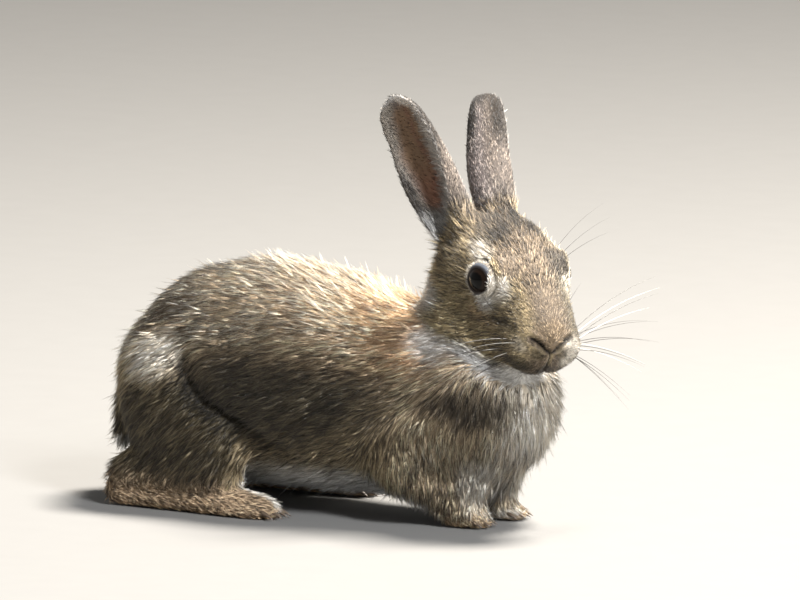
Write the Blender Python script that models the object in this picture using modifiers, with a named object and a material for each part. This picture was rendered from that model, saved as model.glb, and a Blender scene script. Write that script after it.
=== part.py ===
"""A young European rabbit crouching on all fours, as a still, life-size model.

The rabbit faces +X with its left side towards +Y, and stands on Z = 0.  The head is turned to its
right.  The solids reach out to the tips of the coat.  The body is blended from muscle masses as one
closed form and then parted, with thin gaps, into the parts that a person would name.
"""

import math

import bmesh
import bpy
from mathutils import Euler, Matrix, Vector

MM = 0.001

# ---------------------------------------------------------------- driving dimensions, millimetres
BACK_TOP = 113.0  # highest point of the hump, over the loin
RUMP_X = -103.0  # rearmost point of the rump
CHEST_X = 111.0  # foremost point of the chest
BELLY_Z = 7.0  # clearance under the belly
FLANK_HALF = 50.0  # half width at the flanks
CHEST_HALF = 37.0  # half width at the chest

HIND_FOOT_LENGTH = 84.0
HIND_FOOT_Y = 37.0  # distance of a hind foot from the midline
FORE_PAW_Y = 15.0  # distance of a fore paw from the midline

HEAD_AT = Vector((104.2, -12.0, 113.1))  # midpoint between the eyes
HEAD_YAW = -30.0  # degrees, turned to the rabbit's right
HEAD_PITCH = 23.0  # degrees, nose down
HEAD_ROLL = 0.0
EYE_HALF = 16.5  # from the face's midline to an eyeball's centre
FACE_SHIFT = -2.0  # the face's midline, which lies to the right of the middle of the fur
EYE_RADIUS = 7.6

EAR_LENGTH = 67.5  # root to tip, with the part inside the head
EAR_THICK = 2.6
EAR_BOW = 3.0  # how far the ear's back bends out of line
EAR_SWEEP = 2.5  # how far the tip lies towards the rear edge

# Along each ear, from its root (0) to its tip (1): half of the width measured round the curl, how
# much of that the rear half has, the curl of each half in degrees, and how much more the rear edge
# folds over.
EAR_HALF_ARC = [(0, 20.5), (0.2, 21.5), (0.5, 21.5), (0.75, 20), (0.88, 17.5), (0.96, 13), (1, 8)]
EAR_REAR_SHARE = [(0, 1.0), (0.3, 1.12), (0.5, 1.02), (0.75, 0.83), (1.0, 0.8)]
EAR_CURL = [(0, 115), (0.3, 80), (0.6, 55), (1.0, 30)]
EAR_FOLD = [(0, 15), (0.3, 35), (0.6, 20), (0.9, 0), (1.0, 0)]

# Each ear's root in the head's frame, then the way it points and the way its opening looks, in the
# rabbit's frame, and how tightly its rear and front halves are curled: the right ear listens to
# the side with its front edge rolled in, and the left one is turned back.
EARS = {
    1: (Vector((-38.5, 7, 2)), Vector((-30, 31, 55)), Vector((0.47, 0.88, 0)), (1.65, 1.35)),
    -1: (Vector((-37.5, -12.5, 2)), Vector((-34, -7.5, 61.5)), Vector((-0.22, -0.97, 0)), (0.85, 1.45)),
}

GAP = 0.35  # between neighbouring parts

# The head's cross sections in its own frame: distance along it from between the eyes, top, bottom,
# half width, and the level of the widest place.
HEAD_SECTIONS = [
    (40.5, -13.0, -20.0, 5.0, -16.5),
    (39.0, -9.0, -25.0, 9.5, -17.5),
    (35.5, -5.0, -30.5, 13.5, -18.5),
    (30.0, -1.2, -34.5, 16.8, -19.5),
    (22.0, 4.2, -37.0, 18.2, -19.0),
    (12.0, 10.8, -38.5, 19.2, -16.5),
    (2.0, 15.4, -39.5, 21.8, -13.0),
    (-8.0, 17.8, -40.5, 24.0, -14.0),
    (-18.0, 18.0, -41.0, 26.0, -17.0),
    (-28.0, 15.8, -41.5, 27.5, -20.0),
    (-38.0, 9.5, -41.0, 25.0, -21.0),
    (-45.0, 0.0, -38.0, 19.0, -19.0),
    (-50.0, -9.0, -32.0, 10.0, -18.0),
]

# The same kind of sections, round the head, for parting it from the neck and chest.
HEAD_REGION = [
    (46.0, -2.0, -32.0, 15.0, -18.0),
    (37.0, 8.0, -39.0, 24.0, -18.0),
    (20.0, 18.0, -43.0, 30.0, -16.0),
    (0.0, 32.0, -44.0, 36.0, -14.0),
    (-25.0, 36.0, -44.0, 38.0, -14.0),
    (-45.0, 30.0, -42.0, 36.0, -14.0),
    (-56.0, 20.0, -36.0, 28.0, -14.0),
]

# The regions that the limbs are parted by, in order: name, centre on the left side, half sizes,
# and whether the region is a box.
LIMB_REGIONS = [
    ("hind_foot_", (-50, 43, 5), (58, 18, 10), True),
    ("thigh_", (-64, 46, 40), (42, 27, 42), False),
    ("forepaw_", (78, 14.3, 1), (15, 10.6, 6.2), True),
    ("foreleg_", (62, 26, 28), (32, 19, 30), False),
]

# ---------------------------------------------------------------- mesh densities
BLEND_VOXEL = 1.7
SMOOTH_ROUNDS = 9
BODY_TRIANGLES = 3400

LEFT, RIGHT = 1, -1
SIDE_NAMES = {LEFT: "left", RIGHT: "right"}

COLOURS = {
    "agouti_coat": (0.235, 0.168, 0.105),
    "ear_coat": (0.270, 0.205, 0.150),
    "eye": (0.018, 0.010, 0.007),
}
ROUGHNESS = {"agouti_coat": 0.85, "ear_coat": 0.8, "eye": 0.08}


# ---------------------------------------------------------------- scene helpers
def clear_scene():
    for obj in list(bpy.data.objects):
        bpy.data.objects.remove(obj, do_unlink=True)


def new_collection(name):
    found = bpy.data.collections.new(name)
    bpy.context.scene.collection.children.link(found)
    return found


def material(name):
    made = bpy.data.materials.get(name) or bpy.data.materials.new(name)
    made.use_nodes = True
    shader = made.node_tree.nodes["Principled BSDF"]
    shader.inputs["Base Color"].default_value = (*COLOURS[name], 1.0)
    shader.inputs["Roughness"].default_value = ROUGHNESS[name]
    shader.inputs["Metallic"].default_value = 0.0
    return made


def object_of(mesh_source, name, collection):
    """Puts a finished bmesh into the scene as an object."""
    mesh = bpy.data.meshes.new(name)
    mesh_source.to_mesh(mesh)
    mesh_source.free()
    made = bpy.data.objects.new(name, mesh)
    collection.objects.link(made)
    return made


def bake_modifiers(obj):
    """Replaces the object's mesh by its evaluated one and drops the modifiers."""
    bpy.context.view_layer.update()
    graph = bpy.context.evaluated_depsgraph_get()
    mesh = bpy.data.meshes.new_from_object(obj.evaluated_get(graph))
    obj.modifiers.clear()
    obj.data = mesh
    return obj


def as_helper(obj):
    obj.hide_render = True
    obj.display_type = "WIRE"
    return obj


# ---------------------------------------------------------------- masses
def add_ellipsoid(bm, centre, radii, frame=None, fineness=3):
    """Adds one muscle mass.  Centre and radii are in millimetres, in the given frame."""
    place = Matrix.Translation(Vector(centre) * MM) @ Matrix.Diagonal(Vector(radii) * MM).to_4x4()
    if frame is not None:
        place = frame @ place
    bmesh.ops.create_icosphere(bm, subdivisions=fineness, radius=1.0, matrix=place)


def add_chain(bm, stations, step=4.0, frame=None):
    """Adds a tapering limb or trunk through stations of (x, y, z, half width, half height)."""
    for start, end in zip(stations, stations[1:]):
        length = (Vector(end[:3]) - Vector(start[:3])).length
        count = max(2, round(length / step))
        for i in range(count + 1):
            t = i / count
            ease = t * t * (3 - 2 * t)
            centre = [a + (b - a) * t for a, b in zip(start[:3], end[:3])]
            half_wide, half_high = (a + (b - a) * ease for a, b in zip(start[3:], end[3:]))
            along = (half_wide + half_high) / 2
            add_ellipsoid(bm, centre, (along, half_wide, half_high), frame)


def add_loft(bm, sections, frame, points=36, fullness=2.3):
    """Adds a closed form through upright cross sections of (x, top, bottom, half width, level)."""
    rings = []
    for x, top, bottom, half_wide, level in sections:
        ring = []
        for i in range(points):
            angle = 2 * math.pi * i / points
            c, s = math.cos(angle), math.sin(angle)
            y = half_wide * math.copysign(abs(c) ** (2 / fullness), c)
            reach = (top - level) if s > 0 else (level - bottom)
            z = level + reach * math.copysign(abs(s) ** (2 / fullness), s)
            ring.append(bm.verts.new(frame @ (Vector((x, y, z)) * MM)))
        rings.append(ring)
    for ring, following in zip(rings, rings[1:]):
        for i in range(points):
            j = (i + 1) % points
            bm.faces.new((ring[i], following[i], following[j], ring[j]))
    bm.faces.new(rings[0])
    bm.faces.new(reversed(rings[-1]))


def mirrored(point, side):
    """A station or point given for the left side, on the named side."""
    return (point[0], point[1] * side, *point[2:])


def blend(bm, name, collection, voxel=BLEND_VOXEL, rounds=SMOOTH_ROUNDS):
    """Melts overlapping masses into one smooth closed skin."""
    made = object_of(bm, name, collection)
    melt = made.modifiers.new("melt", "REMESH")
    melt.mode = "VOXEL"
    melt.voxel_size = voxel * MM
    relax = made.modifiers.new("relax", "SMOOTH")
    relax.factor = 0.5
    relax.iterations = rounds
    return bake_modifiers(made)


def thin_out(obj, triangles):
    """Brings a mesh down to about this many triangles."""
    tidy = obj.modifiers.new("triangles", "TRIANGULATE")
    tidy.min_vertices = 4
    bake_modifiers(obj)
    reduce = obj.modifiers.new("reduce", "DECIMATE")
    reduce.ratio = min(1.0, triangles / len(obj.data.polygons))
    return bake_modifiers(obj)


# ---------------------------------------------------------------- trunk and limbs
def trunk_masses(bm):
    middle = (BACK_TOP + BELLY_Z) / 2
    tall = (BACK_TOP - BELLY_Z) / 2
    add_chain(
        bm,
        [
            (RUMP_X + 33, 0, middle - 8, 37, tall - 10.5),
            (-52, 0, middle - 2, 43, tall - 3),
            (-28, 0, middle, 46, tall),
            (0, 0, middle - 2, 46, tall - 2),
            (28, 0, middle - 6, 42, tall - 6),
            (52, 0, middle - 9.5, 38, tall - 9.5),
            (CHEST_X - 36, -2, middle - 5, CHEST_HALF, tall - 14),
        ],
    )
    # The chest, full and rounded, hangs forward between the shoulders.
    add_ellipsoid(bm, (CHEST_X - 34, -3, 56), (34, CHEST_HALF - 2, 34))
    add_ellipsoid(bm, (CHEST_X - 42, -2, 39), (30, 27, 30))
    for side in (LEFT, RIGHT):
        # The flank swells over the thigh, and a fold is left between them.
        add_ellipsoid(bm, mirrored((-4, 14, middle + 2), side), (47, FLANK_HALF - 14, tall - 10))
        add_ellipsoid(bm, mirrored((50, 16, middle - 2), side), (26, 23, 34))


def hind_leg_masses(bm, side):
    heel_x = RUMP_X + 14
    add_chain(
        bm,
        [
            mirrored((-74, 27, 58, 18, 25), side),
            mirrored((-66, 33, 46, 19, 28), side),
            mirrored((-40, 36, 30, 16, 22), side),
        ],
    )
    add_chain(
        bm,
        [
            mirrored((-40, 38, 24, 14, 17), side),
            mirrored((heel_x + 4, HIND_FOOT_Y - 1, 15, 10, 13), side),
        ],
    )


def hind_foot_masses(bm, side):
    heel_x = RUMP_X + 14
    toe_x = heel_x + HIND_FOOT_LENGTH
    add_chain(
        bm,
        [
            mirrored((heel_x, HIND_FOOT_Y, 6, 8, 8), side),
            mirrored((heel_x + 30, HIND_FOOT_Y + 1, 6, 9, 8), side),
            mirrored((toe_x - 18, HIND_FOOT_Y + 3, 5, 10.5, 8), side),
            mirrored((toe_x - 7, HIND_FOOT_Y + 3, 4, 9, 6.5), side),
        ],
    )
    for toe in range(4):
        spread = (toe - 1.5) * 4.6
        reach = toe_x - 5 - abs(toe - 1.3) * 2.2
        add_chain(
            bm,
            [
                mirrored((toe_x - 18, HIND_FOOT_Y + 3 + spread * 0.7, 4, 4.0, 5.0), side),
                mirrored((reach, HIND_FOOT_Y + 3 + spread, 3, 3.2, 3.6), side),
            ],
            step=2.0,
        )


def fore_leg_masses(bm, side):
    add_chain(
        bm,
        [
            mirrored((52, 25, 52, 14, 18), side),
            mirrored((50, 27, 28, 12, 13), side),
        ],
    )
    add_chain(
        bm,
        [
            mirrored((50, 26, 22, 11, 11), side),
            mirrored((66, FORE_PAW_Y + 2, 14, 9.5, 10), side),
            mirrored((74, FORE_PAW_Y, 8, 8.5, 8.5), side),
        ],
    )
    # The fur of the breast hangs down over the front of the leg.
    add_chain(
        bm,
        [
            mirrored((82, 9, 44, 17, 17), side),
            mirrored((79, 12, 22, 12, 12), side),
            mirrored((74, 14, 10, 9.5, 9), side),
        ],
    )


def fore_paw_masses(bm, side):
    add_chain(
        bm,
        [
            mirrored((72, FORE_PAW_Y, 6, 8.5, 8), side),
            mirrored((80, FORE_PAW_Y - 0.5, 5, 9, 6.5), side),
        ],
    )
    for toe in range(4):
        spread = (toe - 1.5) * 4.0
        reach = 87 - abs(toe - 1.4) * 1.6
        add_chain(
            bm,
            [
                mirrored((77, FORE_PAW_Y - 0.5 + spread * 0.7, 3.6, 3.4, 4.2), side),
                mirrored((reach, FORE_PAW_Y - 0.5 + spread, 2.6, 2.8, 3.0), side),
            ],
            step=2.0,
        )


def tail_masses(bm):
    add_chain(
        bm,
        [
            (RUMP_X + 12, 0, 48, 11, 13),
            (RUMP_X - 1, -1, 42, 10.5, 12),
            (RUMP_X - 5, -2, 28, 8, 9),
        ],
    )


# ---------------------------------------------------------------- head
def head_frame():
    """Carries the head's own frame, with +X to the nose, into the rabbit's."""
    turn = Euler(
        (math.radians(HEAD_ROLL), math.radians(HEAD_PITCH), math.radians(HEAD_YAW)), "XYZ"
    )
    return Matrix.Translation(HEAD_AT * MM) @ turn.to_matrix().to_4x4()


def head_masses(bm, frame):
    add_loft(bm, HEAD_SECTIONS, frame)
    for side in (LEFT, RIGHT):
        add_ellipsoid(bm, mirrored((-3, 12.5, 2.5), side), (16, 10.5, 11), frame)  # brow
        add_ellipsoid(bm, mirrored((28, 9.5, -19.5), side), (10.5, 9.5, 10), frame)  # lip pad
        root = EARS[side][0]
        add_ellipsoid(bm, (root.x + 4, root.y, root.z + 3), (10, 9.5, 11), frame)


def neck_masses(bm, frame):
    rear = frame @ (Vector((-29, 0, -16)) * MM) / MM
    add_chain(
        bm,
        [
            (56, 0, 61, 36, 31),
            (67, 0, 68, 32, 27),
            (rear.x, rear.y, rear.z, 25, 24),
        ],
    )
    throat = frame @ (Vector((-18, 0, -32)) * MM) / MM
    add_chain(
        bm,
        [
            (78, -2, 60, 31, 27),
            (throat.x, throat.y, throat.z, 22, 18),
        ],
    )


# ---------------------------------------------------------------- parting the body
def rounded(name, centre, radii, helpers):
    bm = bmesh.new()
    add_ellipsoid(bm, centre, radii, fineness=2)
    return as_helper(object_of(bm, name, helpers))


def block(name, centre, half_sizes, helpers):
    bm = bmesh.new()
    size = Matrix.Diagonal(Vector(half_sizes) * MM).to_4x4()
    bmesh.ops.create_cube(bm, size=2.0, matrix=Matrix.Translation(Vector(centre) * MM) @ size)
    return as_helper(object_of(bm, name, helpers))


def cut(obj, cutter, operation):
    step = obj.modifiers.new("part", "BOOLEAN")
    step.operation = operation
    step.solver = "EXACT"
    step.object = cutter
    return bake_modifiers(obj)


def largest_body(obj):
    """Keeps the biggest closed shell and drops crumbs left by a cut."""
    bm = bmesh.new()
    bm.from_mesh(obj.data)
    unseen, shells = set(bm.verts), []
    while unseen:
        stack, shell = [unseen.pop()], []
        while stack:
            vert = stack.pop()
            shell.append(vert)
            for edge in vert.link_edges:
                other = edge.other_vert(vert)
                if other in unseen:
                    unseen.remove(other)
                    stack.append(other)
        shells.append(shell)
    shells.sort(key=len)
    bmesh.ops.delete(bm, geom=[v for shell in shells[:-1] for v in shell], context="VERTS")
    bm.to_mesh(obj.data)
    bm.free()
    return obj


def grown(obj, name, helpers):
    """A copy of a solid with every face moved out by the gap, for clearing what meets it."""
    bm = bmesh.new()
    bm.from_mesh(obj.data)
    bm.normal_update()
    moves = [v.normal * GAP * MM * v.calc_shell_factor() for v in bm.verts]
    for vert, move in zip(bm.verts, moves):
        vert.co += move
    return as_helper(object_of(bm, name, helpers))


def claim(body, name, inside, parts, helpers):
    """Moves what lies inside a region out of the body, into a part of its own."""
    piece = body.copy()
    piece.data = body.data.copy()
    piece.name = name
    parts.objects.link(piece)
    cut(piece, inside, "INTERSECT")
    cut(body, grown(inside, name + "_clear", helpers), "DIFFERENCE")
    return largest_body(piece)


# ---------------------------------------------------------------- ears and eyes
def between(table, t):
    """Reads a table of (place, value) pairs along a smooth curve through them."""
    last = len(table) - 1
    i = next((k for k in range(last) if t <= table[k + 1][0]), last - 1)
    (x0, y0), (x1, y1) = table[i], table[i + 1]

    def slope(k):
        before, after = table[max(0, k - 1)], table[min(last, k + 1)]
        return (after[1] - before[1]) / (after[0] - before[0])

    width = x1 - x0
    u = (t - x0) / width
    return (
        y0 * (1 + 2 * u) * (1 - u) ** 2
        + y1 * u * u * (3 - 2 * u)
        + slope(i) * width * u * (1 - u) ** 2
        - slope(i + 1) * width * u * u * (1 - u)
    )


def ear_section(t, columns, closing):
    """The curled cross section at t along the ear, as (across, towards the opening) pairs."""
    half_arc = between(EAR_HALF_ARC, t)
    half_arcs = {1: half_arc * between(EAR_REAR_SHARE, t), -1: half_arc}
    curl = math.radians(between(EAR_CURL, t))
    fold = math.radians(between(EAR_FOLD, t))
    sides = {0: (0.0, 0.0)}
    for way, closed in zip((1, -1), closing):
        x = out = 0.0
        fine = 8
        for i in range(1, columns // 2 + 1):
            for k in range(fine):
                s = way * (i - 1 + (k + 0.5) / fine) * 2 / columns
                angle = curl * closed * s + fold * max(0.0, (s - 0.1) / 0.9) ** 2
                x += way * math.cos(angle) * half_arcs[way] * 2 / columns / fine
                out += way * math.sin(angle) * half_arcs[way] * 2 / columns / fine
            sides[way * i] = (x, out)
    middle = sum(out for _, out in sides.values()) / len(sides)
    return [(sides[i][0], sides[i][1] - middle) for i in sorted(sides)]


def ear(name, side, frame, parts):
    """One ear: a sheet from a grid, curled round its length and given its thickness."""
    root, lean, facing, closing = EARS[side]
    rows, columns = 16, 8
    bm = bmesh.new()
    bmesh.ops.create_grid(bm, x_segments=rows, y_segments=columns, size=0.5)
    root = frame @ (root * MM)
    length_axis = lean.normalized()
    facing = (facing - facing.project(length_axis)).normalized()
    rear = length_axis.cross(facing) * side
    sections = [ear_section(min(0.985, i / rows), columns, closing) for i in range(rows + 1)]
    for vert in bm.verts:
        row, column = round((vert.co.x + 0.5) * rows), round((vert.co.y + 0.5) * columns)
        across, out = sections[row][column]
        t = row / rows
        droop = 1 - 0.06 * (2 * column / columns - 1) ** 2 * t**5
        vert.co = root + MM * (
            length_axis * (t * EAR_LENGTH * droop)
            + rear * (across + EAR_SWEEP * t**6)
            + facing * (out - EAR_BOW * math.sin(math.pi * t))
        )
    bmesh.ops.recalc_face_normals(bm, faces=bm.faces)
    made = object_of(bm, name, parts)
    wall = made.modifiers.new("wall", "SOLIDIFY")
    wall.thickness = EAR_THICK * MM
    wall.offset = 0.0
    return bake_modifiers(made)


def eye(name, side, frame, parts):
    bm = bmesh.new()
    centre = (0.5, EYE_HALF * side + FACE_SHIFT, 0)
    add_ellipsoid(bm, centre, (EYE_RADIUS,) * 3, frame)
    return object_of(bm, name, parts)


# ---------------------------------------------------------------- assembly
def blended_body(parts, helpers, frame):
    bm = bmesh.new()
    trunk_masses(bm)
    neck_masses(bm, frame)
    head_masses(bm, frame)
    tail_masses(bm)
    for side in (LEFT, RIGHT):
        hind_leg_masses(bm, side)
        hind_foot_masses(bm, side)
        fore_leg_masses(bm, side)
        fore_paw_masses(bm, side)
    body = blend(bm, "trunk", parts)
    thin_out(body, BODY_TRIANGLES)
    return cut(body, block("below_floor", (0, 0, -50), (200, 200, 50), helpers), "DIFFERENCE")


def part_the_body(body, parts, helpers, frame):
    """Gives the head, neck, tail and limbs solids of their own, and leaves the trunk."""
    bm = bmesh.new()
    add_loft(bm, HEAD_REGION, frame, points=20)
    claim(body, "head", as_helper(object_of(bm, "head_region", helpers)), parts, helpers)
    claim(body, "neck", rounded("neck_region", (62, -1, 84), (32, 48, 30), helpers), parts, helpers)
    behind = (RUMP_X - 9, -1, 36)
    claim(body, "tail", rounded("tail_region", behind, (15, 17, 24), helpers), parts, helpers)
    for side in (LEFT, RIGHT):
        for name, centre, half_sizes, box in LIMB_REGIONS:
            name, centre = name + SIDE_NAMES[side], mirrored(centre, side)
            inside = (block if box else rounded)(name + "_region", centre, half_sizes, helpers)
            claim(body, name, inside, parts, helpers)
    largest_body(body)


def stand_on_origin(parts):
    """Puts the middle of the whole footprint on the origin, and returns the way moved."""
    points = [obj.matrix_world @ v.co for obj in parts.objects for v in obj.data.vertices]
    middle = [(min(p[i] for p in points) + max(p[i] for p in points)) / 2 for i in range(2)]
    shift = Vector((-middle[0], -middle[1], -min(p[2] for p in points)))
    for obj in parts.objects:
        obj.data.transform(Matrix.Translation(shift))
    return shift


def build():
    clear_scene()
    parts = new_collection("rabbit")
    helpers = new_collection("cutters")
    frame = head_frame()
    body = blended_body(parts, helpers, frame)
    around_head = grown(body, "around_head", helpers)
    for side in (LEFT, RIGHT):
        name = SIDE_NAMES[side]
        ball = eye("eye_" + name, side, frame, parts)
        cut(body, grown(ball, "socket_" + name, helpers), "DIFFERENCE")
        pinna = ear("ear_" + name, side, frame, parts)
        cut(pinna, around_head, "DIFFERENCE")
        largest_body(pinna)
    part_the_body(body, parts, helpers, frame)
    for obj in parts.objects:
        slot = {"ear": "ear_coat", "eye": "eye"}.get(obj.name.split("_")[0], "agouti_coat")
        obj.data.materials.clear()
        obj.data.materials.append(material(slot))
    return stand_on_origin(parts)


if __name__ == "__main__":
    build()
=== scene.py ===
"""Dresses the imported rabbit: one skin with lids, nose and mouth, a coat of mesh tufts, eyes, claws
and whiskers, and a plain pale stage.

Everything is in metres in the frame's own axes, +X towards the chest, +Y to the rabbit's left and
+Z up.  Tables of anatomy are in millimetres, and MM turns them into metres.
"""

import math

import bmesh
import bpy
import numpy as np
from bpy.props import FloatProperty, FloatVectorProperty, IntProperty, PointerProperty
from mathutils import Matrix, Vector
from mathutils.bvhtree import BVHTree


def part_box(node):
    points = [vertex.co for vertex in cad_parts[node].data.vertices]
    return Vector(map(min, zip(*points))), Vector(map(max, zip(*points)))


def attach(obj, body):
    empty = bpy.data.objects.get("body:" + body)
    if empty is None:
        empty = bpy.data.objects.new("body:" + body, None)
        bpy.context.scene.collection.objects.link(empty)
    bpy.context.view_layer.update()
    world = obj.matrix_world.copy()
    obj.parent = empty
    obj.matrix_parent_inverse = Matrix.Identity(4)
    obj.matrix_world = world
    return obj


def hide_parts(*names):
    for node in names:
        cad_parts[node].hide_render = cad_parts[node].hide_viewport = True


bl_info = {
    "name": "Crouching Rabbit",
    "version": (1, 0, 0),
    "blender": (4, 5, 0),
    "location": "3D View > Sidebar > Rabbit",
    "description": "Builds the skin, coat, eyes, claws and whiskers of a young rabbit",
    "category": "Add Mesh",
}

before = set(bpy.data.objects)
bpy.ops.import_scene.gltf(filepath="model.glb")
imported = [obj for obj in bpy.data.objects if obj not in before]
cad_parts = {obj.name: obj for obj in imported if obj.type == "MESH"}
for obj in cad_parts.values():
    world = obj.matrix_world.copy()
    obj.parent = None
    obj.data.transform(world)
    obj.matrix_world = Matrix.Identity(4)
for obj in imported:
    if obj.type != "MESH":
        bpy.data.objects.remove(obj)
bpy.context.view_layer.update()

MM = 0.001
SIDES = {"left": 1, "right": -1}
FLESH = [
    "trunk", "neck", "head", "tail",
    "thigh_left", "thigh_right", "hind_foot_left", "hind_foot_right",
    "foreleg_left", "foreleg_right", "forepaw_left", "forepaw_right",
    "ear_left", "ear_right",
]


# ---------------------------------------------------------------- anatomy, read from the frame
def middle(node):
    """The middle of a node's box, in metres."""
    low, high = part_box(node)
    return (low + high) / 2


def unit(vector):
    """A vector of the same way and a length of 1."""
    return np.asarray(vector, float) / np.linalg.norm(vector)


# The way that an eye looks, in the head's axes: ahead, out and up.
EYE_WAY = (0.34, 1.0, 0.09)
EYE_CENTRES = {name: middle(f"eye_{name}") for name in SIDES}
EYE_RADIUS = (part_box("eye_left")[1].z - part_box("eye_left")[0].z) / 2 / MM
HEAD_PITCH = math.radians(23)
HEAD_AT = np.array((EYE_CENTRES["left"] + EYE_CENTRES["right"]) / 2) / MM
EYE_HALF = (EYE_CENTRES["left"] - EYE_CENTRES["right"]).length / 2 / MM
LEFTWARD = unit(EYE_CENTRES["left"] - EYE_CENTRES["right"])
LEVEL_AHEAD = np.cross(LEFTWARD, (0, 0, 1))
HEAD_AHEAD = LEVEL_AHEAD * math.cos(HEAD_PITCH) - np.array((0, 0, 1)) * math.sin(HEAD_PITCH)
HEAD_UP = np.cross(HEAD_AHEAD, LEFTWARD)
HEAD_AXES = np.array((HEAD_AHEAD, LEFTWARD, HEAD_UP))

# Each ear's root in the head's axes, the way it stands, the way its opening looks, and how tightly
# its rear and front halves are curled.
EARS = {
    "left": ((-38.5, 9, 2), (-30, 31, 55), (0.47, 0.88, 0), (1.65, 1.35)),
    "right": ((-37.5, -10.5, 2), (-34, -7.5, 61.5), (-0.22, -0.97, 0), (0.85, 1.45)),
}
EAR_LENGTH = 67.5
EAR_BOW = 3.0
EAR_SWEEP = 2.5
EAR_LEVELS = 45
EAR_COLUMNS = 49

# Up an ear, from its root (0) to its tip (1): half of the width measured round the curl, how much of
# that the rear half has, the curl in degrees, and how much more the rear edge folds over.
EAR_HALF_ARC = [(0, 20.5), (0.2, 21.5), (0.5, 21.5), (0.75, 20), (0.88, 17.5), (0.96, 13), (1, 8)]
EAR_REAR_SHARE = [(0, 1.0), (0.3, 1.12), (0.5, 1.02), (0.75, 0.83), (1.0, 0.8)]
EAR_CURL = [(0, 115), (0.3, 80), (0.6, 55), (1.0, 30)]
EAR_FOLD = [(0, 15), (0.3, 35), (0.6, 20), (0.9, 0), (1.0, 0)]


def to_head(points):
    """Points in millimetres, carried into the head's axes."""
    return (points - HEAD_AT) @ HEAD_AXES.T


def from_head(points):
    """Points in the head's axes, carried back into the frame's, in millimetres."""
    return np.asarray(points, float) @ HEAD_AXES + HEAD_AT


def ear_axes(name):
    """The root of an ear, its lengthwise axis, the way it opens, and the way to its rear edge."""
    root, lean, facing, _ = EARS[name]
    along = unit(lean)
    facing = np.array(facing) - along * np.dot(facing, along)
    facing = unit(facing)
    return from_head(root), along, facing, np.cross(along, facing) * SIDES[name]


def along_table(table, t):
    """The value of a table of (place, value) rows at a place between them."""
    return np.interp(t, [row[0] for row in table], [row[1] for row in table])


def ear_sheet(name):
    """Places on an ear's middle sheet: how far up and across each is, and three axes there."""
    root, along, facing, rear = ear_axes(name)
    across = np.linspace(-1, 1, EAR_COLUMNS)
    closed = np.where(across > 0, *EARS[name][3])
    found = []
    for t in np.linspace(0, 1, EAR_LEVELS):
        angle = np.radians(along_table(EAR_CURL, t)) * closed * across
        angle += np.radians(along_table(EAR_FOLD, t)) * np.maximum(0, (across - 0.1) / 0.9) ** 2
        reach = np.where(across > 0, along_table(EAR_REAR_SHARE, t), 1) * along_table(EAR_HALF_ARC, t)
        reach *= across[1] - across[0]
        level, out = np.cumsum(np.cos(angle) * reach), np.cumsum(np.sin(angle) * reach)
        level = level - level[EAR_COLUMNS // 2] + EAR_SWEEP * t**6
        out = out - out.mean() - EAR_BOW * math.sin(math.pi * t)
        height = t * EAR_LENGTH * (1 - 0.06 * across**2 * t**5)
        place = root + np.outer(height, along) + np.outer(level, rear) + np.outer(out, facing)
        over = np.outer(np.cos(angle), rear) + np.outer(np.sin(angle), facing)
        inward = np.outer(np.cos(angle), facing) - np.outer(np.sin(angle), rear)
        found.append(np.column_stack([place, np.full(EAR_COLUMNS, t), across, over, inward]))
    return np.concatenate(found)


def ear_place(P, N, name):
    """How far up an ear each point is, from -1 at its front edge to 1 at its rear edge, whether it
    looks into the ear, and the way across the ear there."""
    sheet = ear_sheet(name)
    nearest = np.concatenate([
        ((some[:, None, :] - sheet[None, :, :3]) ** 2).sum(axis=2).argmin(axis=1)
        for some in np.array_split(P, len(P) // 500 + 1)
    ])
    found = sheet[nearest]
    inside = (N * found[:, 8:11]).sum(axis=1) > 0
    return found[:, 3], found[:, 4], inside, found[:, 5:8]


# ---------------------------------------------------------------- settings
class RabbitCoat(bpy.types.PropertyGroup):
    """Lengths and numbers of the coat."""

    back_length: FloatProperty(
        name="Back", description="Hair on the back, in millimetres",
        default=10.0, min=1,
    )
    chest_length: FloatProperty(
        name="Chest", description="Hanging chest hair, in millimetres",
        default=12.0, min=1,
    )
    hairs_in_tuft: IntProperty(
        name="Hairs in a tuft", description="Hairs that share one tip",
        default=4, min=1,
    )
    body_sets: IntProperty(
        name="Body sets", description="Layers of tufts over the body",
        default=5, min=1,
    )
    head_sets: IntProperty(
        name="Head sets", description="Layers of tufts over the head",
        default=2, min=1,
    )
    ear_sets: IntProperty(
        name="Ear sets", description="Layers of tufts over the ears",
        default=1, min=1,
    )


def colour_setting(name, description, value):
    """A setting that holds one colour."""
    return FloatVectorProperty(name=name, description=description, subtype="COLOR", default=value)


class RabbitColours(bpy.types.PropertyGroup):
    """Colours of the coat and skin."""

    tan: colour_setting("Tan", "Band colour of the back", (0.92, 0.71, 0.49))
    grey: colour_setting("Grey brown", "Flanks and cheeks", (0.27, 0.212, 0.118))
    black: colour_setting("Black", "Dark hair tips", (0.022, 0.017, 0.013))
    rust: colour_setting("Rust", "Nape and forelegs", (0.95, 0.64, 0.38))
    cream: colour_setting("Cream", "Eye ring and chest fringe", (0.82, 0.74, 0.62))
    white: colour_setting("White", "Throat, chin, belly, tail", (0.92, 0.90, 0.87))
    ear_skin: colour_setting("Ear skin", "Bare inside of the ears", (0.25, 0.155, 0.092))
    ear_back: colour_setting("Ear back", "Back of the ears", (0.215, 0.182, 0.172))
    lid_skin: colour_setting("Lid skin", "Lids, lips and nostrils", (0.020, 0.015, 0.013))
    upper_lid: colour_setting("Upper lid", "Bare band over the eye", (0.045, 0.052, 0.066))
    eye: colour_setting("Eye", "Iris", (0.007, 0.0035, 0.002))
    horn: colour_setting("Claw", "Claws", (0.09, 0.065, 0.045))


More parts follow.
